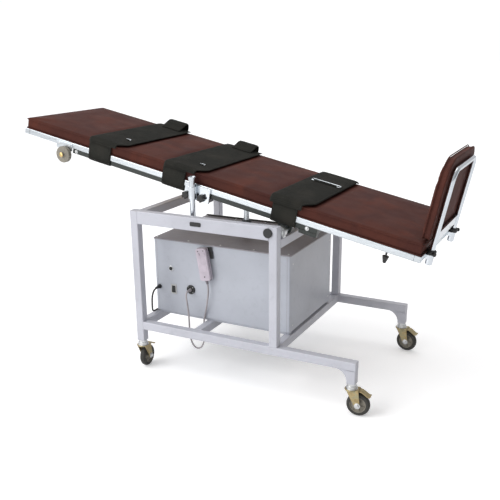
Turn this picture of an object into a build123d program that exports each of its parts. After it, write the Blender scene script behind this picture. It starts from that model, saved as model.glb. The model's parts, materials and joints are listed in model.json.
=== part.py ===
from build123d import *
import math
import os

# Motorised tilt table for a gym or therapy room: a padded top that tips about a cross shaft.
# Millimetres, +Z up, +X towards the foot end. The near side is -Y.
# Every size below is measured from the outer face of the foot-end posts (X), the middle plane (Y)
# and the floor (Z). The finished parts are moved along X at the end, so that the origin lies on
# the floor, under the middle of the whole table.

# ---- welded base frame
FRAME_LENGTH = 722.0
FRAME_HALF = 387.0
FRAME_TOP = 763.0
TUBE = 38.0
WALL = 2.0
SIDE_RAIL_HEIGHT = 58.0
BASE_RAIL_TOP = 238.0
LEG_BOTTOM = 142.0
OUTRIGGER = 352.0
GUSSET = 55.0
HEAD_RAIL_DROP = 10.0
FOOT_RAIL_TOP = 706.0
MIDDLE_RAIL_X = -411.0

# ---- pivot and table top, in the table's own frame: U to the foot, V across, N out of the top
PIVOT_X = -14.0
PIVOT_Z = 730.0
REST_TILT = 11.5
SHAFT_RADIUS = 12.0
RUNNING_GAP = 0.05
HEAD_END = -1404.0
FOOT_END = 576.0
TABLE_HALF = 290.0
EDGE_TUBE = 26.0
EDGE_BOTTOM = 48.0
EDGE_TOP = EDGE_BOTTOM + EDGE_TUBE
BOARD_THICKNESS = 10.0
CUSHION_THICKNESS = 50.0
CUSHION_TOP = EDGE_TOP + CUSHION_THICKNESS
SUBFRAME_DEPTH = 22.0
SUBFRAME_BOTTOM = EDGE_BOTTOM - SUBFRAME_DEPTH
SUBFRAME_HEAD = -1116.0
SUBFRAME_FOOT = 142.0

# ---- actuator: rod end on the table, trunnion on the base
CLEVIS_U = -330.0
CLEVIS_N = -10.0
TRUNNION_X = -340.0
TRUNNION_Z = 262.0
ROD_RADIUS = 13.0
BARREL_RADIUS = 22.0
BARREL_START = 110.0
BARREL_TAIL = 80.0
ROD_LENGTH = 480.0

# ---- housing under the table
HOUSING_X = (-700.0, -5.0)
HOUSING_HALF = 243.0
HOUSING_Z = (252.0, 602.0)
SHEET = 2.0
LID_THICKNESS = 5.0
LID_SLOT = (-368.0, -188.0)
LID_SLOT_HALF = 27.0

# ---- controls on the housing's near face: X and Z of each
RESET_AT = (-611.0, 468.0)
ROCKER_AT = (-600.0, 368.0)
SOCKET_AT = (-506.0, 379.0)
GLAND_AT = (-678.0, 371.0)
HANDSET_AT = (-419.0, 520.0)
HANDSET_SIZE = (54.0, 25.0, 152.0)
HANDSET_Y = -266.0
HANDSET_LEAN = -9.5
RELIEF_LENGTH = 20.0

# ---- castors
WHEEL_RADIUS = 50.0
WHEEL_WIDTH = 30.0
CASTOR_TRAIL = 30.0
CASTORS = (
    (-703.0, -368.0, 95.0),
    (-703.0, 368.0, -60.0),
    (333.0, -368.0, 5.0),
    (333.0, 368.0, -5.0),
)

# ---- straps: middle U and width on the top, then middle U and width down the sides
STRAPS = {
    "chest_strap": (-925.0, 190.0, -960.0, 124.0),
    "hip_strap": (-511.0, 202.0, -557.0, 118.0),
    "knee_strap": (8.0, 190.0, -14.0, 118.0),
}
STRAP_THICKNESS = 5.0

# ---- rollers hung from the edge tubes at the head end
ROLLER_U = -1150.0
ROLLER_N = 14.0
ROLLER_RADIUS = 38.0

# ---- accessory clamp on the near edge tube: knobs are (U, N)
CLAMP_U = (-488.0, -364.0)
POLE_U = -440.0
POLE_Y = -315.0
POLE_RADIUS = 12.0
RAIL_KNOB = (-475.0, 16.0)
POLE_KNOB = (-399.0, 22.0)
FOOT_KNOB_U = 438.0

# ---- footboard
BOARD_TUBE_RADIUS = 11.0
BOARD_TUBE_U = 592.0
BOARD_TUBE_HALF = 194.0
BOARD_TUBE_TOP = 408.0
BOARD_TUBE_BOTTOM = 22.0
BOARD_BAR_N = (112.0, 150.0)
SOCKET_N = (26.0, 66.0)
BOARD_BEND = 45.0
PAD_HALF = 255.0
PAD_N = (132.0, 452.0)
PAD_CORNER = 100.0
PAD_THICKNESS = 33.0

# ---- cords
HANDSET_CORD_RADIUS = 3.75
MAINS_CORD_RADIUS = 4.0
HANDSET_CORD_ROUTE = [
    (-506.0, -262.0, 379.0), (-506.0, -281.0, 379.0), (-502.0, -296.0, 368.0), (-495.0, -301.5, 345.0),
    (-489.0, -301.0, 299.0), (-488.5, -297.5, 243.0), (-491.5, -292.0, 188.0), (-488.0, -288.0, 143.0),
    (-469.0, -286.0, 110.0), (-438.0, -286.0, 112.0), (-421.0, -283.0, 143.0), (-426.0, -273.0, 176.0),
    (-436.5, -257.0, 206.0), (-438.0, -248.5, 242.0), (-429.0, -249.5, 276.0), (-415.5, -259.0, 314.0),
    (-404.5, -265.5, 362.0), (-399.35, -266.0, 402.0), (-403.14, -266.0, 425.2),
]
MAINS_CORD_ROUTE = [
    (-678.0, -259.0, 371.0), (-678.0, -288.0, 371.0), (-677.0, -309.0, 354.0), (-677.0, -316.0, 326.0),
    (-681.0, -311.0, 294.0), (-690.0, -298.0, 267.0), (-702.0, -272.0, 249.5), (-710.5, -228.0, 244.5),
    (-710.0, -169.0, 243.5), (-711.5, -110.0, 243.0), (-710.0, -51.0, 243.5), (-711.0, 8.0, 243.0),
    (-710.0, 67.0, 243.5), (-711.0, 126.0, 243.0), (-710.0, 185.0, 243.5), (-708.0, 239.0, 244.0),
    (-690.0, 284.0, 249.5), (-655.0, 309.0, 226.0), (-632.0, 315.0, 176.0), (-619.0, 315.0, 118.0),
    (-611.0, 319.0, 64.0), (-605.0, 334.0, 26.0), (-603.0, 362.0, 5.5), (-607.0, 394.0, 4.6),
    (-611.0, 426.0, 4.4),
]
COIL_CENTRE = (-554.0, 435.0)
COIL_RADIUS = 46.0
COIL_BAND = 16.0
COIL_HEIGHT = 16.4
COIL_LEAD = ((-554.0, 495.2, 12.3), (-507.0, 495.2, 16.2))
PLUG_X = (-504.0, -460.0)
PLUG_Y = 495.2
PLUG_RADIUS = 16.0
PIN_RADIUS = 2.4
PIN_LENGTH = 19.0
PIN_SPACING = 19.0

REST = math.radians(REST_TILT)


# ======================================================================= shared shapes
def block(x, y, z):
    """A box from its low and high limits on each axis."""
    centre = Pos((x[0] + x[1]) / 2, (y[0] + y[1]) / 2, (z[0] + z[1]) / 2)
    return centre * Box(abs(x[1] - x[0]), abs(y[1] - y[0]), abs(z[1] - z[0]))


def tube_bar(x, y, z, along, closed=(False, False), wall=WALL, corner=4.0):
    """A square or rectangular tube with rounded long edges; closed says which ends are capped."""
    limits = [sorted(x), sorted(y), sorted(z)]
    axis = {Axis.X: 0, Axis.Y: 1, Axis.Z: 2}[along]
    outer = block(*limits)
    outer = fillet(outer.edges().filter_by(along), corner)
    inner = [(low + wall, high - wall) for low, high in limits]
    low, high = limits[axis]
    inner[axis] = (low + wall if closed[0] else low - 1, high - wall if closed[1] else high + 1)
    return outer - block(*inner)


def rod(start, end, radius):
    """A round bar between two points."""
    line = Edge.make_line(start, end)
    return extrude(Plane(line @ 0, z_dir=line % 0) * Circle(radius), line.length)


def group(*solids):
    """Several separate solids that share one node."""
    pieces = []
    for shape in solids:
        pieces += list(shape.solids())
    return Compound(children=pieces)


def mirrored(shape):
    """The shape and its twin across the middle plane."""
    return group(shape, mirror(shape, about=Plane.XZ))


def on_table(shape):
    """Moves a shape from the table's own frame to its place at the rest tilt."""
    return Pos(PIVOT_X, 0, PIVOT_Z) * Rot(0, REST_TILT, 0) * shape


def table_point(u, v, n):
    """A point of the table's own frame, at the rest tilt."""
    x = PIVOT_X + u * math.cos(REST) + n * math.sin(REST)
    z = PIVOT_Z - u * math.sin(REST) + n * math.cos(REST)
    return (x, v, z)


# ======================================================================= base frame
def side_frame(side):
    """Two posts, a deep top rail, a long base rail, the foot-end leg and its curved gusset."""
    y = (side * FRAME_HALF, side * (FRAME_HALF - TUBE))
    head = (-FRAME_LENGTH, -FRAME_LENGTH + TUBE)
    foot = (-TUBE, 0.0)
    leg = (OUTRIGGER - TUBE, OUTRIGGER)
    base_bottom = BASE_RAIL_TOP - TUBE
    head_post = tube_bar(head, y, (LEG_BOTTOM, FRAME_TOP), Axis.Z, (False, True))
    foot_post = tube_bar(foot, y, (BASE_RAIL_TOP, FRAME_TOP), Axis.Z, (False, True))
    top_rail = tube_bar((head[1], foot[0]), y, (FRAME_TOP - SIDE_RAIL_HEIGHT, FRAME_TOP), Axis.X)
    base_rail = tube_bar((head[1], OUTRIGGER), y, (base_bottom, BASE_RAIL_TOP), Axis.X, (False, True))
    lower_leg = tube_bar(leg, y, (LEG_BOTTOM, base_bottom), Axis.Z)
    inset = (y[0] - side * 5, y[1] + side * 5)
    corner = block((leg[0] - GUSSET, leg[0]), inset, (base_bottom - GUSSET, base_bottom))
    scoop = Pos(leg[0] - GUSSET, 0, base_bottom - GUSSET) * Rot(90, 0, 0) * Cylinder(GUSSET, 900)
    gusset = corner - scoop
    return group(head_post, foot_post, top_rail, base_rail, lower_leg, gusset)


def cross_rail(x, top):
    inner = FRAME_HALF - TUBE
    return tube_bar(x, (-inner, inner), (top - TUBE, top), Axis.Y)


def middle_base_rail():
    """The middle cross rail with the two cheeks that carry the actuator's trunnion."""
    rail = cross_rail((MIDDLE_RAIL_X - TUBE / 2, MIDDLE_RAIL_X + TUBE / 2), BASE_RAIL_TOP)
    plate = block((MIDDLE_RAIL_X - 15, TRUNNION_X + 22), (37.0, 43.0), (BASE_RAIL_TOP, TRUNNION_Z + 24))
    hole = Pos(TRUNNION_X, 40, TRUNNION_Z) * Rot(90, 0, 0) * Cylinder(8.0, 20)
    cheek = plate - hole
    return rail + cheek + mirror(cheek, about=Plane.XZ)


def castor_stems():
    """In each leg's end: a plug, a bearing ring and the pin that the fork swivels on."""
    stems = []
    for x, y, _ in CASTORS:
        plug = Pos(x, y, 136) * Cylinder(18.5, 12)
        ring = Pos(x, y, 124.5) * Cylinder(22, 11)
        pin = Pos(x, y, 114) * Cylinder(8, 16)
        flange = Pos(x, y, 107.5) * Cylinder(12, 3)
        stems.append(plug + ring + pin + flange)
    return group(*stems)


def pivot_brackets():
    """Two pillow blocks on the foot-end cross rail, bored for the pivot shaft."""
    foot = block((PIVOT_X - 24, PIVOT_X + 14), (-327, -303), (FOOT_RAIL_TOP, PIVOT_Z - 8))
    boss = Pos(PIVOT_X, -315, PIVOT_Z) * Rot(90, 0, 0) * Cylinder(22, 24)
    bore = Pos(PIVOT_X, -315, PIVOT_Z) * Rot(90, 0, 0) * Cylinder(SHAFT_RADIUS + RUNNING_GAP, 40)
    return mirrored(foot + boss - bore)


# ======================================================================= housing and controls
def housing_shell():
    """Folded sheet-metal case, open at the top, with a floor rim and two bearers under it."""
    y = (-HOUSING_HALF, HOUSING_HALF)
    outer = block(HOUSING_X, y, HOUSING_Z)
    outer = fillet(outer.edges().filter_by(Axis.Z), 6)
    inside = block((HOUSING_X[0] + SHEET, HOUSING_X[1] - SHEET), (y[0] + SHEET, y[1] - SHEET),
                   (HOUSING_Z[0] + SHEET, HOUSING_Z[1] + 1))
    rim = 45.0
    hatch = block((HOUSING_X[0] + rim, HOUSING_X[1] - rim), (y[0] + rim, y[1] - rim),
                  (HOUSING_Z[0] - 1, HOUSING_Z[0] + SHEET + 1))
    shell = outer - inside - hatch
    window = block((ROCKER_AT[0] - 11, ROCKER_AT[0] + 11), (y[0] - 1, y[0] + 5),
                   (ROCKER_AT[1] - 19, ROCKER_AT[1] + 19))
    button_hole = Pos(RESET_AT[0], y[0], RESET_AT[1]) * Rot(90, 0, 0) * Cylinder(8.5, 12)
    shell = shell - window - button_hole
    bearer = block((HOUSING_X[0] + 10, HOUSING_X[1] - 6), (-233, -205), (BASE_RAIL_TOP, HOUSING_Z[0]))
    return shell + bearer + mirror(bearer, about=Plane.XZ)


def housing_lid():
    """Flat lid with a small overhang and a slot for the actuator."""
    over = 3.0
    plate = block((HOUSING_X[0] - over, HOUSING_X[1] + over), (-HOUSING_HALF - over, HOUSING_HALF + over),
                  (HOUSING_Z[1], HOUSING_Z[1] + LID_THICKNESS))
    plate = fillet(plate.edges().filter_by(Axis.Z), 8)
    slot = block(LID_SLOT, (-LID_SLOT_HALF, LID_SLOT_HALF), (HOUSING_Z[1] - 1, HOUSING_Z[1] + 10))
    slot = fillet(slot.edges().filter_by(Axis.Z), 20)
    return plate - slot


def power_unit():
    """Supply and relay box, standing on the floor rim inside the housing."""
    case = block((-692, -560), (-236, -120), (HOUSING_Z[0] + SHEET, HOUSING_Z[0] + 82))
    return fillet(case.edges().filter_by(Axis.Z), 6)


def face_disc(at, radius, depth, proud=0.0):
    """A round piece on the housing's near face, standing depth out of it."""
    y = -HOUSING_HALF - proud - depth / 2
    return Pos(at[0], y, at[1]) * Rot(90, 0, 0) * Cylinder(radius, depth)


def panel_fittings():
    """Handset socket and its plug, mains gland, switch bezel and the reset button's collar."""
    socket = face_disc(SOCKET_AT, 22, 6) + face_disc(SOCKET_AT, 7, 13, 6)
    gland = face_disc(GLAND_AT, 10, 5) + face_disc(GLAND_AT, 7, 11, 5)
    bezel = block((ROCKER_AT[0] - 14.5, ROCKER_AT[0] + 14.5), (-HOUSING_HALF - 3, -HOUSING_HALF),
                  (ROCKER_AT[1] - 22.5, ROCKER_AT[1] + 22.5))
    window = block((ROCKER_AT[0] - 10, ROCKER_AT[0] + 10), (-HOUSING_HALF - 9, -HOUSING_HALF + 9),
                   (ROCKER_AT[1] - 17.5, ROCKER_AT[1] + 17.5))
    collar = face_disc(RESET_AT, 13, 4) - face_disc(RESET_AT, 8 + RUNNING_GAP, 20, -8)
    return group(socket, gland, bezel - window, collar)


def rocker_switch():
    """Rocker paddle, resting with its top pressed in."""
    paddle = Box(19, 6, 32)
    paddle = fillet(paddle.edges().filter_by(Axis.X), 1.5) + Rot(0, 90, 0) * Cylinder(2, 19.8)
    return Pos(ROCKER_AT[0], -HOUSING_HALF - 1, ROCKER_AT[1]) * Rot(-7, 0, 0) * paddle


def reset_button():
    head = face_disc(RESET_AT, 8, 11, -4)
    return fillet(head.edges().sort_by(Axis.Y)[0], 1.5)


def frame_plugs():
    """A blank badge plate and a round cap on the near side rail."""
    y = -FRAME_HALF
    badge = block((-410, -357), (y - 3, y), (727, 745))
    badge = fillet(badge.edges().filter_by(Axis.Y), 5)
    cap = Pos(-41, y - 3, 737) * Rot(90, 0, 0) * Cylinder(20, 6)
    cap = fillet(cap.edges().sort_by(Axis.Y)[0], 2)
    return group(badge, cap)


def in_handset(shape):
    return Pos(HANDSET_AT[0], HANDSET_Y, HANDSET_AT[1]) * Rot(0, HANDSET_LEAN, 0) * shape


def handset_case():
    """Two-button handset with a hanging slot in its back."""
    width, depth, height = HANDSET_SIZE
    body = Box(width, depth, height)
    body = fillet(body.edges().filter_by(Axis.Y), 12)
    body = fillet(body.edges().group_by(Axis.Y)[0], 4)
    slot = block((-6, 6), (depth / 2 - 9, depth / 2 + 1), (-2, 58))
    relief = Pos(0, 0, -(height + RELIEF_LENGTH) / 2) * Cone(4.2, 6.5, RELIEF_LENGTH)
    well = Pos(14, -depth / 2, 48) * Rot(90, 0, 0) * Cylinder(8 + RUNNING_GAP, 16)
    return in_handset(body + relief - slot - well - mirror(well, about=Plane.YZ))


def handset_button(side):
    """A round key; it stands 3 mm out of its well and has 2 mm of travel."""
    key = Pos(side * 14, -HANDSET_SIZE[1] / 2 + 0.5, 48) * Rot(90, 0, 0) * Cylinder(8, 7)
    return in_handset(key)


def handset_hook():
    """Bent strap on the near face: a peg behind the handset, an arm beside it."""
    plate = block((-HANDSET_SIZE[0] / 2 + 12, 40), (14.5, 19), (56, 74))
    leg = block((30, 44), (14.5, 19), (20, 74))
    peg = Pos(0, 9.5, 54) * Rot(90, 0, 0) * Cylinder(4, 12)
    neck = block((-4, 4), (14.5, 19), (50, 62))
    hook = in_handset(plate + leg + neck + peg)
    cut = block((-800, 0), (-HOUSING_HALF, -HOUSING_HALF + 40), (300, 700))
    return hook - cut


# ======================================================================= actuator
def actuator_line():
    """Rod-end pivot, unit vector down the actuator, and the distance to the trunnion."""
    top = Vector(*table_point(CLEVIS_U, 0, CLEVIS_N))
    down = Vector(TRUNNION_X, 0, TRUNNION_Z) - top
    return top, down.normalized(), down.length


def along_actuator(shape):
    """Moves a shape whose +Z runs down the actuator, from the rod-end pivot, to its place."""
    top, down, _ = actuator_line()
    return Plane(top, x_dir=(0, 1, 0), z_dir=down).location * shape


def actuator_rod():
    """Polished rod with a cross-bored eye at the top."""
    eye = Rot(0, 90, 0) * Cylinder(17, 29)
    shank = Pos(0, 0, 26) * Cylinder(14.5, 24)
    bar = Pos(0, 0, (10 + ROD_LENGTH) / 2) * Cylinder(ROD_RADIUS, ROD_LENGTH - 10)
    bore = Rot(0, 90, 0) * Cylinder(6 + RUNNING_GAP, 60)
    return along_actuator(eye + shank + bar - bore)


def actuator_barrel():
    """Outer tube, closed at the foot, with two stub pins on the trunnion axis."""
    _, _, reach = actuator_line()
    end = reach + BARREL_TAIL
    tube = Pos(0, 0, (BARREL_START + end) / 2) * Cylinder(BARREL_RADIUS, end - BARREL_START)
    pins = Pos(0, 0, reach) * Rot(0, 90, 0) * Cylinder(7, 68)
    depth = end - 8 - BARREL_START
    bore = Pos(0, 0, BARREL_START + depth / 2 - 1) * Cylinder(ROD_RADIUS + RUNNING_GAP, depth + 2)
    return along_actuator(tube + pins - bore)


def gear_motor():
    """Gearbox round the barrel's foot, and the motor standing beside it."""
    _, _, reach = actuator_line()
    low, high = reach + 12, reach + BARREL_TAIL - 4
    box = block((-28, 28), (-24, 86), (low, high))
    box = fillet(box.edges().filter_by(Axis.Z), 6)
    box -= Pos(0, 0, reach + 40) * Cylinder(BARREL_RADIUS, 160)
    motor = Pos(0, 56, low - 75) * Cylinder(27, 150)
    motor = fillet(motor.edges().sort_by(Axis.Z)[0], 5)
    return along_actuator(box + motor)


# ======================================================================= castors
def in_castor(index, shape):
    x, y, heading = CASTORS[index]
    return Pos(x, y, 0) * Rot(0, 0, heading) * shape


def castor_fork(index):
    """Swivel crown, two raked cheeks and the wheel's axle."""
    crown = Pos(0, 0, 115) * Cylinder(27, 6) + Pos(16, 0, 115) * Box(34, 44, 6)
    crown -= Pos(0, 0, 115) * Cylinder(8 + RUNNING_GAP, 20)
    outline = Polyline((-20, 116), (33, 116), (CASTOR_TRAIL + 11, 46), (CASTOR_TRAIL + 6, 38),
                       (CASTOR_TRAIL - 6, 38), (CASTOR_TRAIL - 12, 46), close=True)
    cheek = extrude(Plane.XZ * make_face(outline), 3)
    cheeks = Pos(0, -19, 0) * cheek + Pos(0, 22, 0) * cheek
    axle = Pos(CASTOR_TRAIL, 0, WHEEL_RADIUS) * Rot(90, 0, 0) * Cylinder(5, 52)
    return in_castor(index, crown + cheeks + axle)


def castor_wheel(index):
    """Tyred wheel with a rounded tread, hollow webs and a bore that runs on the axle."""
    tyre = Cylinder(WHEEL_RADIUS, WHEEL_WIDTH)
    tyre = fillet(tyre.edges(), 8)
    dish = Cylinder(33, WHEEL_WIDTH) - Cylinder(12, WHEEL_WIDTH + 2)
    tyre -= Pos(0, 0, WHEEL_WIDTH - 7) * dish
    tyre -= Pos(0, 0, -WHEEL_WIDTH + 7) * dish
    tyre -= Cylinder(5 + RUNNING_GAP, WHEEL_WIDTH + 2)
    return in_castor(index, Pos(CASTOR_TRAIL, 0, WHEEL_RADIUS) * Rot(90, 0, 0) * tyre)


def castor_pedal(index):
    """Brake pedal behind the crown: a pressed plate with a curled tip."""
    path = Polyline((36, 112), (46, 110), (72, 92), (82, 92), (82, 95), (73, 95.2), (47, 113), (36, 115),
                    close=True)
    plate = Pos(0, 17, 0) * extrude(Plane.XZ * make_face(path), 34)
    hinge_pin = Pos(36, 0, 113.5) * Rot(90, 0, 0) * Cylinder(2.5, 34)
    return in_castor(index, plate + hinge_pin)


# ======================================================================= table
def hinge_plate(side, inner):
    """A plate round the pivot shaft, cut away where it would meet the foot-end cross rail."""
    y = (side * (inner - 8), side * inner)
    plate = block((-42, 0), y, (-18, EDGE_BOTTOM)) + block((0, 42), y, (20, EDGE_BOTTOM))
    plate += block((0, 22), y, (0, 20))
    plate += Pos(0, side * (inner - 4), 0) * Rot(90, 0, 0) * Cylinder(22, 8)
    return plate - Rot(90, 0, 0) * Cylinder(SHAFT_RADIUS, 900)


def subframe():
    """Black under-frame: side tubes, cross tubes, hinge plates and the actuator's clevis lugs."""
    outer = TABLE_HALF - 4
    inner = outer - 25
    n = (SUBFRAME_BOTTOM, EDGE_BOTTOM)
    pieces = []
    for side in (-1, 1):
        y = (side * inner, side * outer)
        pieces.append(tube_bar((SUBFRAME_HEAD, SUBFRAME_FOOT), y, n, Axis.X, (True, True), corner=3))
        pieces.append(hinge_plate(side, inner))
        pieces.append(block((62, SUBFRAME_FOOT), y, (SUBFRAME_BOTTOM - 16, SUBFRAME_BOTTOM)))
        lug = block((CLEVIS_U - 18, CLEVIS_U + 18), (side * 15, side * 23), (CLEVIS_N - 16, SUBFRAME_BOTTOM))
        pieces.append(lug - Pos(CLEVIS_U, 0, CLEVIS_N) * Rot(90, 0, 0) * Cylinder(6, 80))
    for u in (SUBFRAME_HEAD + 14, -720.0, CLEVIS_U, SUBFRAME_FOOT - 14):
        pieces.append(tube_bar((u - 14, u + 14), (-inner, inner), n, Axis.Y, corner=3))
    return on_table(group(*pieces))


def edge_frame():
    """Bright square tube round the whole top; its long sides take clamped accessories."""
    n = (EDGE_BOTTOM, EDGE_TOP)
    pieces = []
    for side in (-1, 1):
        y = (side * TABLE_HALF, side * (TABLE_HALF - EDGE_TUBE))
        pieces.append(tube_bar((HEAD_END, FOOT_END), y, n, Axis.X, (True, True), corner=3))
    inner = TABLE_HALF - EDGE_TUBE
    pieces.append(tube_bar((HEAD_END, HEAD_END + EDGE_TUBE), (-inner, inner), n, Axis.Y, corner=3))
    pieces.append(tube_bar((FOOT_END - EDGE_TUBE, FOOT_END), (-inner, inner), n, Axis.Y, corner=3))
    return on_table(group(*pieces))


def top_board():
    plate = block((HEAD_END + 16, FOOT_END - 16), (-TABLE_HALF + 16, TABLE_HALF - 16),
                  (EDGE_TOP, EDGE_TOP + BOARD_THICKNESS))
    return on_table(plate)


def cushion():
    """Foam slab whose cover comes down round the board."""
    slab = block((HEAD_END + 2, FOOT_END - 2), (-TABLE_HALF + 2, TABLE_HALF - 2), (EDGE_TOP, CUSHION_TOP))
    slab = fillet(slab.edges().group_by(Axis.Z)[-1] + slab.edges().filter_by(Axis.Z), 10)
    pocket = block((HEAD_END + 16, FOOT_END - 16), (-TABLE_HALF + 16, TABLE_HALF - 16),
                   (EDGE_TOP - 1, EDGE_TOP + BOARD_THICKNESS))
    return on_table(slab - pocket)


def strap(sizes, pad):
    """Webbing over the cushion and down both sides, with its padded end laid across the top."""
    middle, top_width, side_middle, side_width = sizes
    gap = 0.3
    inner = TABLE_HALF + gap
    outer = inner + STRAP_THICKNESS
    top = (CUSHION_TOP + gap, CUSHION_TOP + gap + STRAP_THICKNESS)
    u = (side_middle - side_width / 2, side_middle + side_width / 2)
    pieces = [block((middle - top_width / 2, middle + top_width / 2), (-inner + 16, inner - 16), top)]
    for side in (-1, 1):
        pieces.append(block(u, (side * (inner - 16), side * outer), top))
        pieces.append(block(u, (side * inner, side * outer), (SUBFRAME_BOTTOM, top[0])))
    pieces.append(block(*pad(middle, top_width, top[1])))
    return on_table(group(*pieces))


def folded_pad(middle, width, low):
    """The limits of a pad folded up on the far edge."""
    return (middle - width / 2 + 46, middle + width / 2 - 38), (215, 290), (low, low + 36)


def wide_pad(middle, width, low):
    """The limits of a wide flat pad from the near edge over most of the top."""
    return (middle - width / 2 + 3, middle + width / 2 - 3), (-290, 268), (low, low + 14)


def strap_buckles():
    """A small bar buckle on each narrow strap and a long wire buckle on the wide pad."""
    low = CUSHION_TOP + STRAP_THICKNESS + 0.3
    pieces = []
    for middle, v in ((STRAPS["chest_strap"][0] + 40, -185), (STRAPS["hip_strap"][0] + 40, -205)):
        frame = block((middle - 30, middle + 30), (v - 16, v + 16), (low, low + 3))
        pieces.append(frame - block((middle - 25, middle + 25), (v - 11, v + 11), (low - 1, low + 9)))
    middle = STRAPS["knee_strap"][0] + 7
    low += 14
    wire = block((middle - 71, middle + 71), (55, 85), (low, low + 4))
    pieces.append(wire - block((middle - 67, middle + 67), (59, 81), (low - 1, low + 9)))
    return on_table(group(*pieces))


def pivot_shaft():
    return on_table(Rot(90, 0, 0) * Cylinder(SHAFT_RADIUS, 664))


def clevis_pin():
    pin = Rot(90, 0, 0) * (Cylinder(6, 50) + Pos(0, 0, 25.5) * Cylinder(9, 5))
    return on_table(Pos(CLEVIS_U, 0, CLEVIS_N) * pin)


def head_roller_brackets():
    """Plates on both edge tubes, each with a brass axle that carries a roller."""
    y = TABLE_HALF
    plate = block((-1206, -1118), (-y - 5, -y), (EDGE_BOTTOM - 14, EDGE_TOP - 8))
    hanger = block((ROLLER_U - 14, ROLLER_U + 14), (-y - 5, -y), (ROLLER_N - 16, EDGE_BOTTOM - 14))
    axle = Pos(ROLLER_U, -y - 18, ROLLER_N) * Rot(90, 0, 0) * Cylinder(5, 36)
    head = Pos(ROLLER_U, -y - 34, ROLLER_N) * Rot(90, 0, 0) * Cylinder(9, 4)
    return on_table(mirrored(plate + hanger + axle + head))


def head_roller(side):
    """Nylon disc with rounded rims."""
    disc = Cylinder(ROLLER_RADIUS, 20)
    disc = fillet(disc.edges(), 3)
    disc -= Cylinder(5 + RUNNING_GAP, 30)
    return on_table(Pos(ROLLER_U, side * (TABLE_HALF + 17), ROLLER_N) * Rot(90, 0, 0) * disc)


# ======================================================================= accessory clamp
def upright(u, n, y):
    """A location on the clamp whose +Z is vertical at the rest tilt."""
    return Pos(u, y, n) * Rot(0, -REST_TILT, 0)


def clamp_block():
    """Plate outside the edge tube, a lip under it, and a socket for the pole."""
    y = TABLE_HALF + 0.3
    plate = block(CLAMP_U, (-y - 9, -y), (6, EDGE_TOP - 3))
    lip = block(CLAMP_U, (-y, -y + 34), (10, SUBFRAME_BOTTOM - 0.4))
    boss = upright(POLE_U, 38, POLE_Y) * Cylinder(17, 52)
    bore = upright(POLE_U, 38, POLE_Y) * Cylinder(POLE_RADIUS + RUNNING_GAP, 200)
    holes = [Pos(u, -y, n) * Rot(90, 0, 0) * Cylinder(4 + RUNNING_GAP, 24) for u, n in (RAIL_KNOB, POLE_KNOB)]
    return on_table(plate + lip + boss - bore - holes[0] - holes[1])


def clamp_pole():
    """Round pole with a flared cap on top."""
    bar = Pos(0, 0, -34) * Cylinder(POLE_RADIUS, 172)
    cap = Pos(0, 0, 55) * Cylinder(15, 8)
    return on_table(upright(POLE_U, 38, POLE_Y) * (bar + cap))


def star_knob(at):
    """Five-lobed grip on a screw that enters the clamp."""
    grip = Cylinder(13, 16)
    for step in range(5):
        grip += Rot(0, 0, 72 * step) * Pos(11.5, 0, 0) * Cylinder(5.5, 16)
    screw = Pos(0, 0, -13) * Cylinder(4, 16)
    knob = Pos(at[0], -TABLE_HALF - 19, at[1]) * Rot(90, 0, 0) * (grip + screw)
    return on_table(knob)


def foot_knob():
    """Conical locking knob under the near edge tube, on its screw."""
    screw = Pos(0, 0, 13) * Cylinder(4, 18)
    grip = Pos(0, 0, -10) * Cone(6, 14, 28)
    return on_table(Pos(FOOT_KNOB_U, -TABLE_HALF + 13, EDGE_BOTTOM - 23) * (grip + screw))


# ======================================================================= footboard
def footboard_sockets():
    """Two tubes on the foot-end rail that take the footboard's legs."""
    pieces = []
    for side in (-1, 1):
        v = side * BOARD_TUBE_HALF
        middle = Pos(BOARD_TUBE_U, v, (SOCKET_N[0] + SOCKET_N[1]) / 2)
        tube = middle * Cylinder(BOARD_TUBE_RADIUS + 4, SOCKET_N[1] - SOCKET_N[0])
        tube += block((FOOT_END, BOARD_TUBE_U), (v - 20, v + 20), (EDGE_BOTTOM, SOCKET_N[1]))
        tube -= middle * Cylinder(BOARD_TUBE_RADIUS + RUNNING_GAP, 80)
        pieces.append(tube)
    return on_table(group(*pieces))


def footboard_frame():
    """One bent tube, two legs up and across, with a flat cross bar."""
    low = (BOARD_TUBE_U, -BOARD_TUBE_HALF, BOARD_TUBE_BOTTOM)
    corners = [low, (BOARD_TUBE_U, -BOARD_TUBE_HALF, BOARD_TUBE_TOP),
               (BOARD_TUBE_U, BOARD_TUBE_HALF, BOARD_TUBE_TOP),
               (BOARD_TUBE_U, BOARD_TUBE_HALF, BOARD_TUBE_BOTTOM)]
    line = FilletPolyline(*corners, radius=BOARD_BEND)
    bow = sweep(Plane(line @ 0, z_dir=line % 0) * Circle(BOARD_TUBE_RADIUS), path=line)
    bar = block((BOARD_TUBE_U - 4, BOARD_TUBE_U + 4), (-BOARD_TUBE_HALF, BOARD_TUBE_HALF), BOARD_BAR_N)
    return on_table(bow + bar)


def footboard_pad():
    """Padded foot plate on the near side of the tubes, with rounded top corners."""
    face = BOARD_TUBE_U - BOARD_TUBE_RADIUS
    slab = block((face - PAD_THICKNESS, face), (-PAD_HALF, PAD_HALF), PAD_N)
    top_corners = slab.edges().filter_by(Axis.X).group_by(Axis.Z)[-1]
    slab = fillet(top_corners, PAD_CORNER)
    low_corners = slab.edges().filter_by(Axis.X).group_by(Axis.Z)[0]
    return on_table(fillet(low_corners, 18))


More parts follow.
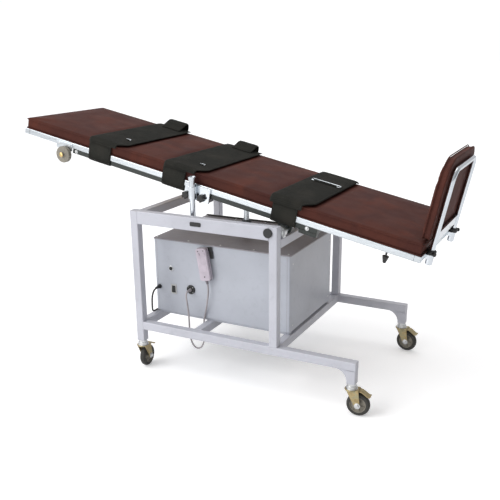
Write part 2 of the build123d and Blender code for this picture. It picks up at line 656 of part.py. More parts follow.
# ======================================================================= cords
def cord_tube(route, radius, name):
    """Straight runs joined by tangent arcs; each arc is as large as its two runs allow."""
    points = [Vector(*p) for p in route]
    radii = []
    for before, here, after in zip(points, points[1:], points[2:]):
        turn = math.radians((here - before).get_angle(after - here))
        shorter = min((here - before).length, (after - here).length)
        radii.append(0.45 * shorter / math.tan(turn / 2))
    line = FilletPolyline(*points, radius=radii)
    tube = sweep(Plane(line @ 0, z_dir=line % 0) * Circle(radius), path=line)
    print(name, "length", round(line.length, 1), "volume ratio",
          round(tube.volume / (math.pi * radius**2 * line.length), 3))
    print("  radii", [round(r) for r in radii])
    return tube


def mains_coil():
    """The put-away length of the mains cord, as the outer shape of its turns, and its lead to the plug."""
    inner = COIL_RADIUS - COIL_BAND
    ring = Cylinder(COIL_RADIUS + COIL_BAND, COIL_HEIGHT) - Cylinder(inner, COIL_HEIGHT + 2)
    ring = Pos(COIL_CENTRE[0], COIL_CENTRE[1], COIL_HEIGHT / 2 + 0.2) * ring
    return ring + rod(*COIL_LEAD, MAINS_CORD_RADIUS)


def mains_plug():
    """Moulded plug with two round pins."""
    y, z = PLUG_Y, PLUG_RADIUS + 0.2
    body = rod((PLUG_X[0] + 8, y, z), (PLUG_X[1], y, z), PLUG_RADIUS)
    body = fillet(body.edges().sort_by(Axis.X)[0], 5)
    relief = rod((PLUG_X[0] - 3, y, z), (PLUG_X[0] + 12, y, z), 6.5)
    plug = body + relief
    for side in (-1, 1):
        offset = side * PIN_SPACING / 2
        plug += rod((PLUG_X[1] - 2, y + offset, z), (PLUG_X[1] + PIN_LENGTH, y + offset, z), PIN_RADIUS)
    return plug


# ======================================================================= assembly
def build_parts():
    """Every node by name, before the move to the origin."""
    parts = {
        "near_side_frame": side_frame(-1),
        "far_side_frame": side_frame(1),
        "head_top_rail": cross_rail((-FRAME_LENGTH, -FRAME_LENGTH + TUBE), FRAME_TOP - HEAD_RAIL_DROP),
        "foot_top_rail": cross_rail((-TUBE, 0), FOOT_RAIL_TOP),
        "head_base_rail": cross_rail((-FRAME_LENGTH, -FRAME_LENGTH + TUBE), BASE_RAIL_TOP),
        "middle_base_rail": middle_base_rail(),
        "foot_base_rail": cross_rail((-TUBE, 0), BASE_RAIL_TOP),
        "castor_stems": castor_stems(),
        "pivot_brackets": pivot_brackets(),
        "housing_shell": housing_shell(),
        "housing_lid": housing_lid(),
        "power_unit": power_unit(),
        "panel_fittings": panel_fittings(),
        "rocker_switch": rocker_switch(),
        "reset_button": reset_button(),
        "frame_plugs": frame_plugs(),
        "handset_case": handset_case(),
        "button_up": handset_button(-1),
        "button_down": handset_button(1),
        "handset_hook": handset_hook(),
        "actuator_rod": actuator_rod(),
        "actuator_barrel": actuator_barrel(),
        "gear_motor": gear_motor(),
        "subframe": subframe(),
        "edge_frame": edge_frame(),
        "top_board": top_board(),
        "cushion": cushion(),
        "strap_buckles": strap_buckles(),
        "pivot_shaft": pivot_shaft(),
        "clevis_pin": clevis_pin(),
        "head_roller_brackets": head_roller_brackets(),
        "head_roller_near": head_roller(-1),
        "head_roller_far": head_roller(1),
        "clamp_block": clamp_block(),
        "clamp_pole": clamp_pole(),
        "rail_knob": star_knob(RAIL_KNOB),
        "pole_knob": star_knob(POLE_KNOB),
        "foot_knob": foot_knob(),
        "footboard_sockets": footboard_sockets(),
        "footboard_frame": footboard_frame(),
        "footboard_pad": footboard_pad(),
        "handset_cord": cord_tube(HANDSET_CORD_ROUTE, HANDSET_CORD_RADIUS, "handset_cord"),
        "mains_cord": cord_tube(MAINS_CORD_ROUTE, MAINS_CORD_RADIUS, "mains_cord"),
        "mains_coil": mains_coil(),
        "mains_plug": mains_plug(),
    }
    for name, sizes in STRAPS.items():
        parts[name] = strap(sizes, wide_pad if name == "knee_strap" else folded_pad)
    for index in range(len(CASTORS)):
        number = index + 1
        parts[f"castor_fork_{number}"] = castor_fork(index)
        parts[f"castor_wheel_{number}"] = castor_wheel(index)
        parts[f"castor_pedal_{number}"] = castor_pedal(index)
    return parts


def middle_x(parts):
    """Half way between the edge frame's head corner and the footboard's furthest point."""
    low = parts["edge_frame"].bounding_box().min.X
    high = parts["footboard_frame"].bounding_box().max.X
    return (low + high) / 2


PARTS = build_parts()
ORIGIN_X = middle_x(PARTS)

if __name__ == "__main__":
    os.makedirs("parts", exist_ok=True)
    print("origin X", round(ORIGIN_X, 3), "nodes", len(PARTS))
    for node, shape in PARTS.items():
        export_step(Pos(-ORIGIN_X, 0, 0) * shape, f"parts/{node}.step")
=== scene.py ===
import json
import math

import bmesh
import bpy
from mathutils import Matrix, Vector, noise


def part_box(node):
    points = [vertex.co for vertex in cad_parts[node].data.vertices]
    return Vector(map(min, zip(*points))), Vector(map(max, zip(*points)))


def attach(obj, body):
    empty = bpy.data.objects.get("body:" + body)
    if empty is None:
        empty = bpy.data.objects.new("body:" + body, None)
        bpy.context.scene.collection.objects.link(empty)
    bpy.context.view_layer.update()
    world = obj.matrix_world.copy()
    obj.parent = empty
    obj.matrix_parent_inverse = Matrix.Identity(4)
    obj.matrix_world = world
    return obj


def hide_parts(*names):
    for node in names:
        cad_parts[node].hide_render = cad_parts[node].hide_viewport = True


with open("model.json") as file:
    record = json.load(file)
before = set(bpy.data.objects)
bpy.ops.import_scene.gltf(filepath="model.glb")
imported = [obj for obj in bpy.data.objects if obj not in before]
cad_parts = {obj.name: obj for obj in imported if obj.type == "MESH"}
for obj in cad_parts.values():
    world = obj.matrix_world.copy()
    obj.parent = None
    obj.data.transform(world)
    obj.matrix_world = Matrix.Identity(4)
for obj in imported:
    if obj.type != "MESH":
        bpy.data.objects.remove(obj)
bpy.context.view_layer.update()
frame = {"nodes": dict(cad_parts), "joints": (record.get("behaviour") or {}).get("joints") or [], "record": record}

# Motorised tilt table. The frame, housing, castors and the other hard parts come from the CAD
# model and get their finish here; the cushion, foot pad, straps, cords and small trim are built here.

MM = 0.001
ACROSS = Vector((0, 1, 0))
UP = Vector((0, 0, 1))
SIDES = (("near", -1), ("far", 1))


shifted = Matrix.Translation


def mm(*values):
    """Millimetres to metres."""
    return tuple(value * MM for value in values)


# ===== places taken from the frame
def joint(name):
    return next(j for j in frame["joints"] if j["name"] == name)


def corners(node):
    low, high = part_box(node)
    return Vector(low), Vector(high)


def middle(node):
    low, high = corners(node)
    return (low + high) / 2


def basis(x, y, z, origin):
    """The matrix whose axes and origin are these."""
    return shifted(origin) @ Matrix((x, y, z)).transposed().to_4x4()


def facing(origin, direction):
    """A place at origin whose +Z points along direction."""
    return shifted(origin) @ Vector(direction).to_track_quat("Z", "Y").to_matrix().to_4x4()


# The table's own frame: U runs to the foot end, V across to the far side, N out of the padded top.
ALONG = Vector(joint("clamp_slide")["axis"]).normalized()
OUT = Vector(joint("footboard_lift")["axis"]).normalized()
TABLE = basis(ALONG, ACROSS, OUT, Vector(joint("table_tilt")["pos_m"]))
# The base's own frame: X from the outer face of the foot-end posts.
BASE = shifted((corners("foot_top_rail")[1].x, 0, 0))
HOUSING_LOW, HOUSING_HIGH = corners("housing_shell")
HEAD_END = -1404 * MM
FOOT_END = 576 * MM
TABLE_HALF = 290 * MM
EDGE_LOW = 48 * MM
EDGE_TOP = 74 * MM
CUSHION_TOP = 124 * MM
SUBFRAME_LOW = 26 * MM


# ===== finishes
class Finish:
    """A material: one Principled shader, object coordinates, and textures added one by one."""

    def __init__(self, name, roughness, metallic=0.0, stretch=(1, 1, 1), turn=0.0, **fixed):
        self.material = bpy.data.materials.new(name)
        self.material.use_nodes = True
        self.tree = self.material.node_tree
        self.shader = self.tree.nodes["Principled BSDF"]
        self.fill(self.shader, {"Roughness": roughness, "Metallic": metallic, **fixed})
        coordinates = self.add("ShaderNodeTexCoord").outputs["Object"]
        mapping = self.add("ShaderNodeMapping")
        self.fill(mapping, {"Scale": stretch, "Rotation": (0, turn, 0)})
        self.tree.links.new(coordinates, mapping.inputs["Vector"])
        self.vector = mapping.outputs["Vector"]
        self.normal = None

    def add(self, kind, **settings):
        node = self.tree.nodes.new(kind)
        for name, value in settings.items():
            setattr(node, name, value)
        return node

    def fill(self, node, values):
        for label, value in values.items():
            node.inputs[label.replace("_", " ")].default_value = value

    def link(self, source, target):
        self.tree.links.new(source, target)

    def texture(self, node, output, **inputs):
        self.fill(node, inputs)
        self.link(self.vector, node.inputs["Vector"])
        return node.outputs[output]

    def noise(self, scale, detail=3.0, distortion=0.0):
        node = self.add("ShaderNodeTexNoise")
        return self.texture(node, "Fac", Scale=scale, Detail=detail, Distortion=distortion)

    def cells(self, scale, feature="F1"):
        return self.texture(self.add("ShaderNodeTexVoronoi", feature=feature), "Distance", Scale=scale)

    def bands(self, scale, direction):
        node = self.add("ShaderNodeTexWave", bands_direction=direction)
        return self.texture(node, "Fac", Scale=scale, Distortion=0.6)

    def math(self, operation, a, b):
        node = self.add("ShaderNodeMath", operation=operation)
        for value, socket in zip((a, b), node.inputs):
            if isinstance(value, (int, float)):
                socket.default_value = value
            else:
                self.link(value, socket)
        return node.outputs[0]

    def ramp(self, source, stops):
        """Colours by the source's value; stops is a list of (position, colour)."""
        node = self.add("ShaderNodeValToRGB")
        points = node.color_ramp.elements
        while len(points) < len(stops):
            points.new(0.5)
        for point, (position, colour) in zip(points, stops):
            point.position = position
            point.color = (*colour, 1.0)
        self.link(source, node.inputs["Fac"])
        return node.outputs["Color"]

    def shaded(self, colour, spread, source, low=0.35, high=0.65):
        """The colour, drifting from a little darker to a little lighter."""
        dark = tuple(c * (1 - spread) for c in colour)
        light = tuple(min(1.0, c * (1 + spread)) for c in colour)
        return self.ramp(source, [(low, dark), (high, light)])

    def patches(self, source, low, high, most):
        """From none to a grey share of what is laid over it."""
        return self.ramp(source, [(low, (0, 0, 0)), (high, (most, most, most))])

    def mix(self, factor, a, b):
        node = self.add("ShaderNodeMix", data_type="RGBA")
        self.link(factor, node.inputs[0])
        for value, socket in ((a, node.inputs[6]), (b, node.inputs[7])):
            if isinstance(value, tuple):
                socket.default_value = (*value, 1.0)
            else:
                self.link(value, socket)
        return node.outputs[2]

    def colour(self, source):
        self.link(source, self.shader.inputs["Base Color"])

    def roughness(self, source, low, high):
        node = self.add("ShaderNodeMapRange")
        self.fill(node, {"To Min": low, "To Max": high})
        self.link(source, node.inputs["Value"])
        self.link(node.outputs["Result"], self.shader.inputs["Roughness"])

    def bump(self, source, depth, strength=1.0):
        node = self.add("ShaderNodeBump")
        self.fill(node, {"Distance": depth, "Strength": strength})
        self.link(source, node.inputs["Height"])
        if self.normal is not None:
            self.link(self.normal, node.inputs["Normal"])
        self.normal = node.outputs["Normal"]
        self.link(self.normal, self.shader.inputs["Normal"])

    def soften_edges(self, radius):
        """Rounds the look of hard edges, and returns where those edges are, from 0 to 1."""
        bevel = self.add("ShaderNodeBevel", samples=4)
        bevel.inputs["Radius"].default_value = radius
        self.normal = bevel.outputs["Normal"]
        self.link(self.normal, self.shader.inputs["Normal"])
        true_normal = self.add("ShaderNodeNewGeometry").outputs["Normal"]
        dot = self.add("ShaderNodeVectorMath", operation="DOT_PRODUCT")
        self.link(bevel.outputs["Normal"], dot.inputs[0])
        self.link(true_normal, dot.inputs[1])
        return self.math("SUBTRACT", 1.0, dot.outputs["Value"])


def paint(name, colour, worn, roughness=0.38):
    """Stove enamel: faint orange peel, uneven gloss, handling marks and worn edges."""
    f = Finish(name, roughness, Coat_Weight=0.12, Coat_Roughness=0.25)
    edge = f.soften_edges(1.4 * MM)
    body = f.shaded(colour, 0.05, f.noise(5.0, 4.0))
    grime = f.patches(f.noise(38.0, 6.0, 0.6), 0.56, 0.74, 0.35)
    body = f.mix(grime, body, tuple(c * 0.80 for c in colour))
    scuffs = f.math("MULTIPLY", edge, f.math("GREATER_THAN", f.noise(120.0, 4.0), 0.47))
    f.colour(f.mix(f.math("MULTIPLY", scuffs, 1.6), body, worn))
    f.roughness(f.noise(60.0, 3.0), roughness - 0.08, roughness + 0.12)
    f.bump(f.noise(700.0, 2.0), 0.03 * MM, 0.5)
    return f.material


def bright_metal(name, colour, roughness, stretch=(1, 1, 1), turn=0.0, brush=0.02):
    """Plated or polished metal, with fine draw marks along the stretch and dull patches."""
    f = Finish(name, roughness, 1.0, stretch, turn)
    edge = f.soften_edges(0.8 * MM)
    body = f.shaded(colour, 0.07, f.noise(9.0, 5.0, 0.4), 0.3, 0.7)
    f.colour(f.mix(f.math("MULTIPLY", edge, 0.8), body, tuple(min(1.0, c * 1.07) for c in colour)))
    f.roughness(f.noise(42.0, 5.0), roughness * 0.7, roughness * 1.5)
    f.bump(f.noise(260.0, 2.0), brush * MM, 0.6)
    return f.material


def passivated(name):
    """Yellow zinc plating with its drifting green and pink tints."""
    f = Finish(name, 0.36, 0.85)
    f.soften_edges(0.8 * MM)
    body = f.ramp(f.noise(34.0, 4.0, 1.2), [(0.30, (0.36, 0.27, 0.13)), (0.48, (0.52, 0.41, 0.22)),
        (0.60, (0.42, 0.39, 0.24)), (0.74, (0.46, 0.32, 0.21))])
    spots = f.math("GREATER_THAN", f.noise(190.0, 3.0), 0.63)
    f.colour(f.mix(f.math("MULTIPLY", spots, 0.45), body, (0.22, 0.16, 0.09)))
    f.roughness(f.noise(80.0, 4.0), 0.28, 0.52)
    f.bump(f.noise(420.0, 3.0), 0.03 * MM, 0.6)
    return f.material


def plastic(name, colour, roughness=0.45, grain=0.03):
    """Moulded plastic with a fine spark-eroded grain."""
    f = Finish(name, roughness)
    edge = f.soften_edges(0.6 * MM)
    body = f.shaded(colour, 0.10, f.noise(26.0, 4.0))
    f.colour(f.mix(f.math("MULTIPLY", edge, 0.5), body, tuple(min(1.0, c * 1.5 + 0.02) for c in colour)))
    f.roughness(f.noise(90.0, 3.0), roughness - 0.07, roughness + 0.10)
    f.bump(f.cells(1600.0), grain * MM, 0.4)
    return f.material


def rubber(name, colour, roughness=0.62):
    """Rubber or cord sheath: dull, dusty in patches."""
    f = Finish(name, roughness, Sheen_Weight=0.08)
    body = f.shaded(colour, 0.16, f.noise(22.0, 4.0))
    dust = f.patches(f.noise(75.0, 5.0), 0.55, 0.75, 0.3)
    f.colour(f.mix(dust, body, tuple(c * 0.7 + 0.07 for c in colour)))
    f.roughness(f.noise(110.0, 3.0), roughness - 0.08, roughness + 0.10)
    f.bump(f.noise(900.0, 3.0), 0.04 * MM, 0.5)
    return f.material


def vinyl(name):
    """Upholstery vinyl: pebbled leather grain over slow folds, brown-red in cloudy patches of uneven tone, the
    lighter ones partly painted sheen, with painted shade along the grain's creases.
    """
    f = Finish(name, 0.50, Specular_IOR_Level=0.04)
    # cloudy patches of uneven tone, darker to lighter; the lighter ones are partly painted sheen
    tone_and_sheen_patches = f.noise(6.5, 5.0, 0.8)
    body = f.ramp(tone_and_sheen_patches, [(0.28, (0.062, 0.023, 0.020)), (0.50, (0.084, 0.031, 0.024)),
        (0.72, (0.118, 0.038, 0.026))])
    # darker colour along the grain's creases: painted shade
    crease_shade_lines = f.ramp(f.cells(620.0, "DISTANCE_TO_EDGE"), [(0.0, (0.55, 0.55, 0.55)), (0.18, (0, 0, 0))])
    f.colour(f.mix(crease_shade_lines, body, (0.042, 0.013, 0.011)))
    f.roughness(f.noise(14.0, 5.0), 0.42, 0.64)
    f.bump(f.noise(17.0, 3.0), 0.7 * MM, 0.35)
    f.bump(f.cells(620.0), 0.16 * MM, 0.55)
    f.bump(f.noise(2400.0, 2.0), 0.03 * MM, 0.4)
    return f.material


def webbing(name):
    """Black woven cloth: two sets of crossing yarns and a little lint."""
    f = Finish(name, 0.90, Specular_IOR_Level=0.08)
    weave = f.math("MULTIPLY", f.bands(150.0, "X"), f.bands(150.0, "Y"))
    body = f.ramp(weave, [(0.0, (0.016, 0.016, 0.014)), (1.0, (0.036, 0.036, 0.031))])
    faded = f.patches(f.noise(11.0, 5.0), 0.45, 0.75, 0.5)
    body = f.mix(faded, body, (0.042, 0.038, 0.032))
    lint = f.math("GREATER_THAN", f.noise(420.0, 3.0), 0.70)
    f.colour(f.mix(f.math("MULTIPLY", lint, 0.4), body, (0.11, 0.11, 0.10)))
    f.roughness(f.noise(60.0, 3.0), 0.78, 0.95)
    f.bump(weave, 0.35 * MM, 0.8)
    return f.material


def plywood(name):
    """Plain board with grain along the table."""
    f = Finish(name, 0.62, stretch=(1.0, 14.0, 14.0))
    body = f.ramp(f.noise(9.0, 6.0, 0.9), [(0.30, (0.34, 0.20, 0.10)), (0.52, (0.52, 0.35, 0.19)),
        (0.72, (0.60, 0.43, 0.25))])
    f.colour(body)
    f.bump(f.noise(60.0, 5.0), 0.2 * MM, 0.5)
    return f.material


TILT = math.atan2(-ALONG.z, ALONG.x)
FINISHES = {
    "frame_paint": paint("frame_enamel", (0.51, 0.515, 0.565), (0.42, 0.41, 0.40)),
    "housing_paint": paint("housing_enamel", (0.455, 0.475, 0.525), (0.36, 0.36, 0.36), 0.42),
    "lid_paint": paint("lid_enamel", (0.280, 0.265, 0.285), (0.34, 0.33, 0.33), 0.55),
    "black_paint": paint("subframe_enamel", (0.020, 0.026, 0.022), (0.20, 0.20, 0.18), 0.36),
    "motor_paint": paint("motor_enamel", (0.06, 0.07, 0.08), (0.30, 0.30, 0.28), 0.50),
    "bright_steel": bright_metal("edge_rail_metal", (0.66, 0.70, 0.73), 0.26, (0.1, 8, 8), TILT),
    "chrome": bright_metal("chrome_plate", (0.72, 0.76, 0.80), 0.12, brush=0.006),
    "zinc_white": bright_metal("white_zinc", (0.74, 0.75, 0.75), 0.38),
    "zinc_yellow": passivated("yellow_zinc"),
    "tyre_rubber": rubber("tyre_rubber", (0.035, 0.033, 0.028), 0.66),
    "vinyl": vinyl("upholstery_vinyl"),
    "webbing": webbing("strap_webbing"),
    "plywood": plywood("board_plywood"),
    "black_plastic": plastic("black_plastic", (0.016, 0.016, 0.016), 0.42),
    "grey_nylon": plastic("grey_nylon", (0.24, 0.22, 0.18), 0.50),
    "handset_plastic": plastic("handset_plastic", (0.52, 0.46, 0.52), 0.40),
    "cord_grey": rubber("grey_sheath", (0.36, 0.33, 0.34), 0.50),
    "cord_black": rubber("black_sheath", (0.030, 0.024, 0.022), 0.50),
}
ZINC = FINISHES["zinc_white"]
BRASS = bright_metal("brass_parts", (0.72, 0.53, 0.24), 0.28)
WHITE_PLASTIC = plastic("white_plastic", (0.48, 0.48, 0.47), 0.45)
THREAD = plastic("stitch_thread", (0.075, 0.073, 0.066), 0.75)
PIPING = vinyl("piping_vinyl")


def dress(piece, slot, material=None):
    """Gives a piece its finish: the material given, or else the finish of the named record slot."""
    piece.data.materials.clear()
    piece.data.materials.append(material or FINISHES[slot])
    return piece


for part in frame["record"]["subparts"]:
    shown = frame["nodes"][part["node"]]
    shown.data.materials.clear()
    shown.data.materials.append(FINISHES[part["material_slot"]])


# ===== building pieces
def linked(name, data, place=None):
    """A new object in the scene, at a place if one is given."""
    made = bpy.data.objects.new(name, data)
    bpy.context.scene.collection.objects.link(made)
    if place is not None:
        made.matrix_world = place
    bpy.context.view_layer.update()
    return made


def riding(piece, body, slot, material):
    """Gives a piece its finish and the body that carries it."""
    dress(piece, slot, material)
    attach(piece, body)
    return piece


def new_piece(name, mesh, body, slot, place=None, material=None, crease=38):
    """A bmesh becomes a finished piece that rides on a body."""
    data = bpy.data.meshes.new(name)
    mesh.to_mesh(data)
    mesh.free()
    data.shade_smooth()
    data.set_sharp_from_angle(angle=math.radians(crease))
    return riding(linked(name, data, place), body, slot, material)


def lattice(rings, closed_ends=True):
    """A skin over rings of equal length, capped at both ends unless it closes on itself."""
    mesh = bmesh.new()
    made = [[mesh.verts.new(point) for point in ring] for ring in rings]
    for first, second in zip(made, made[1:]):
        for i in range(len(first)):
            j = (i + 1) % len(first)
            mesh.faces.new((first[i], first[j], second[j], second[i]))
    if closed_ends:
        mesh.faces.new(made[0])
        mesh.faces.new(made[-1])
    bmesh.ops.recalc_face_normals(mesh, faces=mesh.faces)
    return mesh


def turned(name, profile, body, slot, place, material=None, steps=40, hollow=False):
    """Turns a profile of (radius, height), in mm, about local Z; a hollow one closes on itself."""
    mesh = bmesh.new()
    made = []
    for k in range(steps):
        angle = 2 * math.pi * k / steps
        ring = [(*polar(r * MM, angle), h * MM) for r, h in profile]
        made.append([mesh.verts.new(point) for point in ring])
    span = len(profile) if hollow else len(profile) - 1
    for k in range(steps):
        ring, following = made[k], made[(k + 1) % steps]
        for i in range(span):
            j = (i + 1) % len(profile)
            mesh.faces.new((ring[i], following[i], following[j], ring[j]))
    bmesh.ops.remove_doubles(mesh, verts=mesh.verts, dist=1e-6)
    if not hollow:
        bmesh.ops.holes_fill(mesh, edges=[e for e in mesh.edges if e.is_boundary])
    bmesh.ops.recalc_face_normals(mesh, faces=mesh.faces)
    return new_piece(name, mesh, body, slot, place, material)


def rounded_block(low, high, edge, steps=2):
    """A box with rounded edges, as a bmesh."""
    mesh = bmesh.new()
    size = Vector(high) - Vector(low)
    centre = (Vector(high) + Vector(low)) / 2
    bmesh.ops.create_cube(mesh, size=1.0, matrix=shifted(centre) @ Matrix.Diagonal((*size, 1)))
    bmesh.ops.bevel(mesh, geom=mesh.edges[:], offset=edge, segments=steps, profile=0.5, affect="EDGES")
    return mesh


def prism(outline, low, high, edge):
    """An outline in local X and Y, raised from low to high, with softened rims."""
    mesh = bmesh.new()
    face = mesh.faces.new([mesh.verts.new((x, y, low)) for x, y in outline])
    grown = bmesh.ops.extrude_face_region(mesh, geom=[face])
    top = [v for v in grown["geom"] if isinstance(v, bmesh.types.BMVert)]
    bmesh.ops.translate(mesh, vec=(0, 0, high - low), verts=top)
    bmesh.ops.recalc_face_normals(mesh, faces=mesh.faces)
    rims = [e for e in mesh.edges if abs(e.verts[0].co.z - e.verts[1].co.z) < 1e-7]
    bmesh.ops.bevel(mesh, geom=rims, offset=edge, segments=2, profile=0.5, affect="EDGES")
    return mesh


def polar(radius, angle):
    return radius * math.cos(angle), radius * math.sin(angle)


def polygon(radius, count):
    return [polar(radius, 2 * math.pi * k / count) for k in range(count)]


def wire(name, points, radius, body, slot, closed=False, place=None, material=None, order=0):
    """A round wire through points; with an order it is a NURBS line over them."""
    data = bpy.data.curves.new(name, "CURVE")
    data.dimensions = "3D"
    data.bevel_depth = 1.0
    data.bevel_resolution = 3
    data.use_fill_caps = True
    spline = data.splines.new("NURBS" if order else "POLY")
    spline.points.add(len(points) - 1)
    for point, place_of in zip(spline.points, points):
        point.co = (*place_of, 1.0)
        point.radius = radius
    spline.use_cyclic_u = closed
    if order:
        spline.order_u = order
        spline.use_endpoint_u = not closed
        spline.resolution_u = 6
    return riding(linked(name, data, place), body, slot, material)


def rounded_outline(x, y, radii, steps=8):
    """Points round a rectangle; radii is for the corners low-low, high-low, high-high, low-high."""
    points = []
    spots = ((0, 0, 180), (1, 0, 270), (1, 1, 0), (0, 1, 90))
    for (i, j, start), radius in zip(spots, radii):
        cx, cy = x[i] + radius * (1 - 2 * i), y[j] + radius * (1 - 2 * j)
        for k in range(steps + 1):
            dx, dy = polar(radius, math.radians(start + 90 * k / steps))
            points.append((cx + dx, cy + dy))
    return points


def rounded_rectangle(half_x, half_y, radius, steps):
    return rounded_outline((-half_x, half_x), (-half_y, half_y), [radius] * 4, steps)


def smooth_line(points, step):
    """Places at even steps along a smooth line through the points."""
    points = [Vector(p) for p in points]
    padded = [2 * points[0] - points[1]] + points + [2 * points[-1] - points[-2]]
    line = []
    for a, b, c, d in zip(padded, padded[1:], padded[2:], padded[3:]):
        count = max(1, round((c - b).length / step))
        for k in range(count):
            t = k / count
            square = (2 * a - 5 * b + 4 * c - d) * t**2
            cube = (3 * b - a - 3 * c + d) * t**3
            line.append(0.5 * (2 * b + (c - a) * t + square + cube))
    line.append(points[-1])
    return line


def stitches(name, rows):
    """Short raised stitches along rows of points, all one mesh."""
    pitch, thick = 6 * MM, 0.55 * MM
    mesh = bmesh.new()
    for row in rows:
        travelled = 0.0
        for a, b in zip(row, row[1:]):
            a, b = Vector(a), Vector(b)
            travelled += (b - a).length
            if travelled < pitch:
                continue
            travelled = 0.0
            centre = (a + b) / 2
            ahead = (b - a).normalized()
            turn = ahead.to_track_quat("X", "Z").to_matrix().to_4x4()
            shape = Matrix.Diagonal((pitch * 0.31, thick, thick * 0.8, 1))
            bmesh.ops.create_icosphere(mesh, subdivisions=1, radius=1.0,
                matrix=shifted(centre) @ turn @ shape)
    new_piece(name, mesh, "table", "webbing", TABLE, THREAD)


# ===== soft pieces
COVER_CLOTH = {
    "quality": 5, "mass": 0.25, "tension_stiffness": 20, "compression_stiffness": 20,
    "bending_stiffness": 2.0, "use_pressure": True,
}


def swell(piece, is_held, cap, pressure, frames=18):
    """Runs cloth pressure on a closed soft piece; held points stay, and none moves beyond cap."""
    scene = bpy.context.scene
    rest = [v.co.copy() for v in piece.data.vertices]
    group = piece.vertex_groups.new(name="held")
    group.add([i for i, co in enumerate(rest) if is_held(co)], 1.0, "REPLACE")
    cloth = piece.modifiers.new("swelling", "CLOTH")
    cloth.point_cache.frame_end = frames
    for setting, value in COVER_CLOTH.items():
        setattr(cloth.settings, setting, value)
    cloth.settings.uniform_pressure_force = pressure
    cloth.settings.vertex_group_mass = "held"
    cloth.settings.effector_weights.gravity = 0.0
    for number in range(1, frames + 1):
        scene.frame_set(number)
    shape = piece.evaluated_get(bpy.context.evaluated_depsgraph_get())
    moved = [v.co.copy() for v in shape.data.vertices]
    piece.modifiers.remove(cloth)
    scene.frame_set(1)
    for vertex, start, end in zip(piece.data.vertices, rest, moved):
        shift = end - start
        if shift.length > 1e-9:
            shift *= cap * math.tanh(shift.length / cap) / shift.length
        vertex.co = start + shift
    piece.vertex_groups.clear()
    piece.data.update()


def applied(piece, kind, **settings):
    """Applies one modifier to a piece and smooths it."""
    modifier = piece.modifiers.new(kind, kind)
    for setting, value in settings.items():
        setattr(modifier, setting, value)
    shape = piece.evaluated_get(bpy.context.evaluated_depsgraph_get())
    data = bpy.data.meshes.new_from_object(shape)
    piece.modifiers.remove(modifier)
    piece.data = data
    data.shade_smooth()


def cut_evenly(mesh, low, high, spacing):
    """Cuts a box-like mesh into squares of about the spacing, the longest way first."""
    sizes = [high[axis] - low[axis] for axis in range(3)]
    for axis in sorted(range(3), key=lambda a: -sizes[a]):
        count = max(1, round(sizes[axis] / spacing))
        normal = Vector([1.0 if a == axis else 0.0 for a in range(3)])
        for k in range(count + 1):
            at = Vector(low) + normal * sizes[axis] * k / count
            geometry = mesh.verts[:] + mesh.edges[:] + mesh.faces[:]
            bmesh.ops.bisect_plane(mesh, geom=geometry, plane_co=at, plane_no=normal, dist=1e-6)


# middle U and width over the top, then middle U and width down the sides
STRAPS = {
    "chest": mm(-925, 188, -960, 122),
    "hip": mm(-511, 198, -557, 116),
    "knee": mm(8, 186, -14, 114),
}
STRAP_LIFT = 0.4 * MM


def pressed(co):
    """How hard a strap presses the cushion at this point, from 0 to 1."""
    most = 0.0
    for centre, wide, side_centre, narrow in STRAPS.values():
        if abs(co.y) > 280 * MM:
            centre, wide = side_centre, narrow
        off = abs(co.x - centre) - wide / 2
        most = max(most, 1.0 - min(1.0, max(0.0, off / (30 * MM))))
    return most * most * (3 - 2 * most)


def cushion():
    """The long pad: a boxed vinyl cover over foam, held at its base, with piping round its top and base seams."""
    inset = 2 * MM
    low = Vector((HEAD_END + inset, -TABLE_HALF + inset, EDGE_TOP))
    high = Vector((FOOT_END - inset, TABLE_HALF - inset, CUSHION_TOP))
    round_edge = 9 * MM
    mesh = rounded_block(low, high, round_edge, 3)
    margin = Vector((round_edge,) * 3)
    cut_evenly(mesh, low + margin, high - margin, 13 * MM)
    pad = new_piece("cushion_cover", mesh, "table", "vinyl", TABLE, crease=180)
    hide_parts("cushion")
    swell(pad, lambda co: co.z < EDGE_TOP + 1 * MM, 4.5 * MM, 3.2)
    for vertex in pad.data.vertices:
        co = vertex.co
        press = pressed(co)
        slow = noise.noise(Vector((co.x * 7, co.y * 9, co.z * 20))) * 1.1 * MM
        if co.z > CUSHION_TOP - 12 * MM:
            crown = 1.2 * MM * (1 - (co.y / TABLE_HALF) ** 2)
            lifted = co.z + slow * (1 - press) + crown
            co.z = lifted * (1 - press) + min(lifted, CUSHION_TOP - 1.0 * MM) * press
        side = max(0.0, abs(co.y) - (TABLE_HALF - inset))
        if side > 0:
            co.y -= math.copysign(side * press, co.y)
    applied(pad, "SUBSURF", levels=1, render_levels=1)
    rim = 1.6 * MM
    ring = rounded_outline((low.x + rim, high.x - rim), (low.y + rim, high.y - rim), [round_edge] * 4)
    middle_u = (HEAD_END + FOOT_END) / 2
    for name, height in (("cushion_piping_top", CUSHION_TOP - 6 * MM),
            ("cushion_piping_base", EDGE_TOP + 3 * MM)):
        points = []
        for a, b in zip(ring, ring[1:] + ring[:1]):
            count = max(1, round((Vector(b) - Vector(a)).length / (14 * MM)))
            for k in range(count):
                x, y = Vector(a).lerp(Vector(b), k / count)
                press = pressed(Vector((x, y, height)))
                out = 1.2 * MM * (1 - press) - 1.0 * MM * press
                end_out = math.copysign(out, x - middle_u) if abs(y) < TABLE_HALF - 20 * MM else 0.0
                points.append((x + end_out, y + math.copysign(out, y), height))
        wire(name, points, 2.2 * MM, "table", "vinyl", True, TABLE, PIPING)


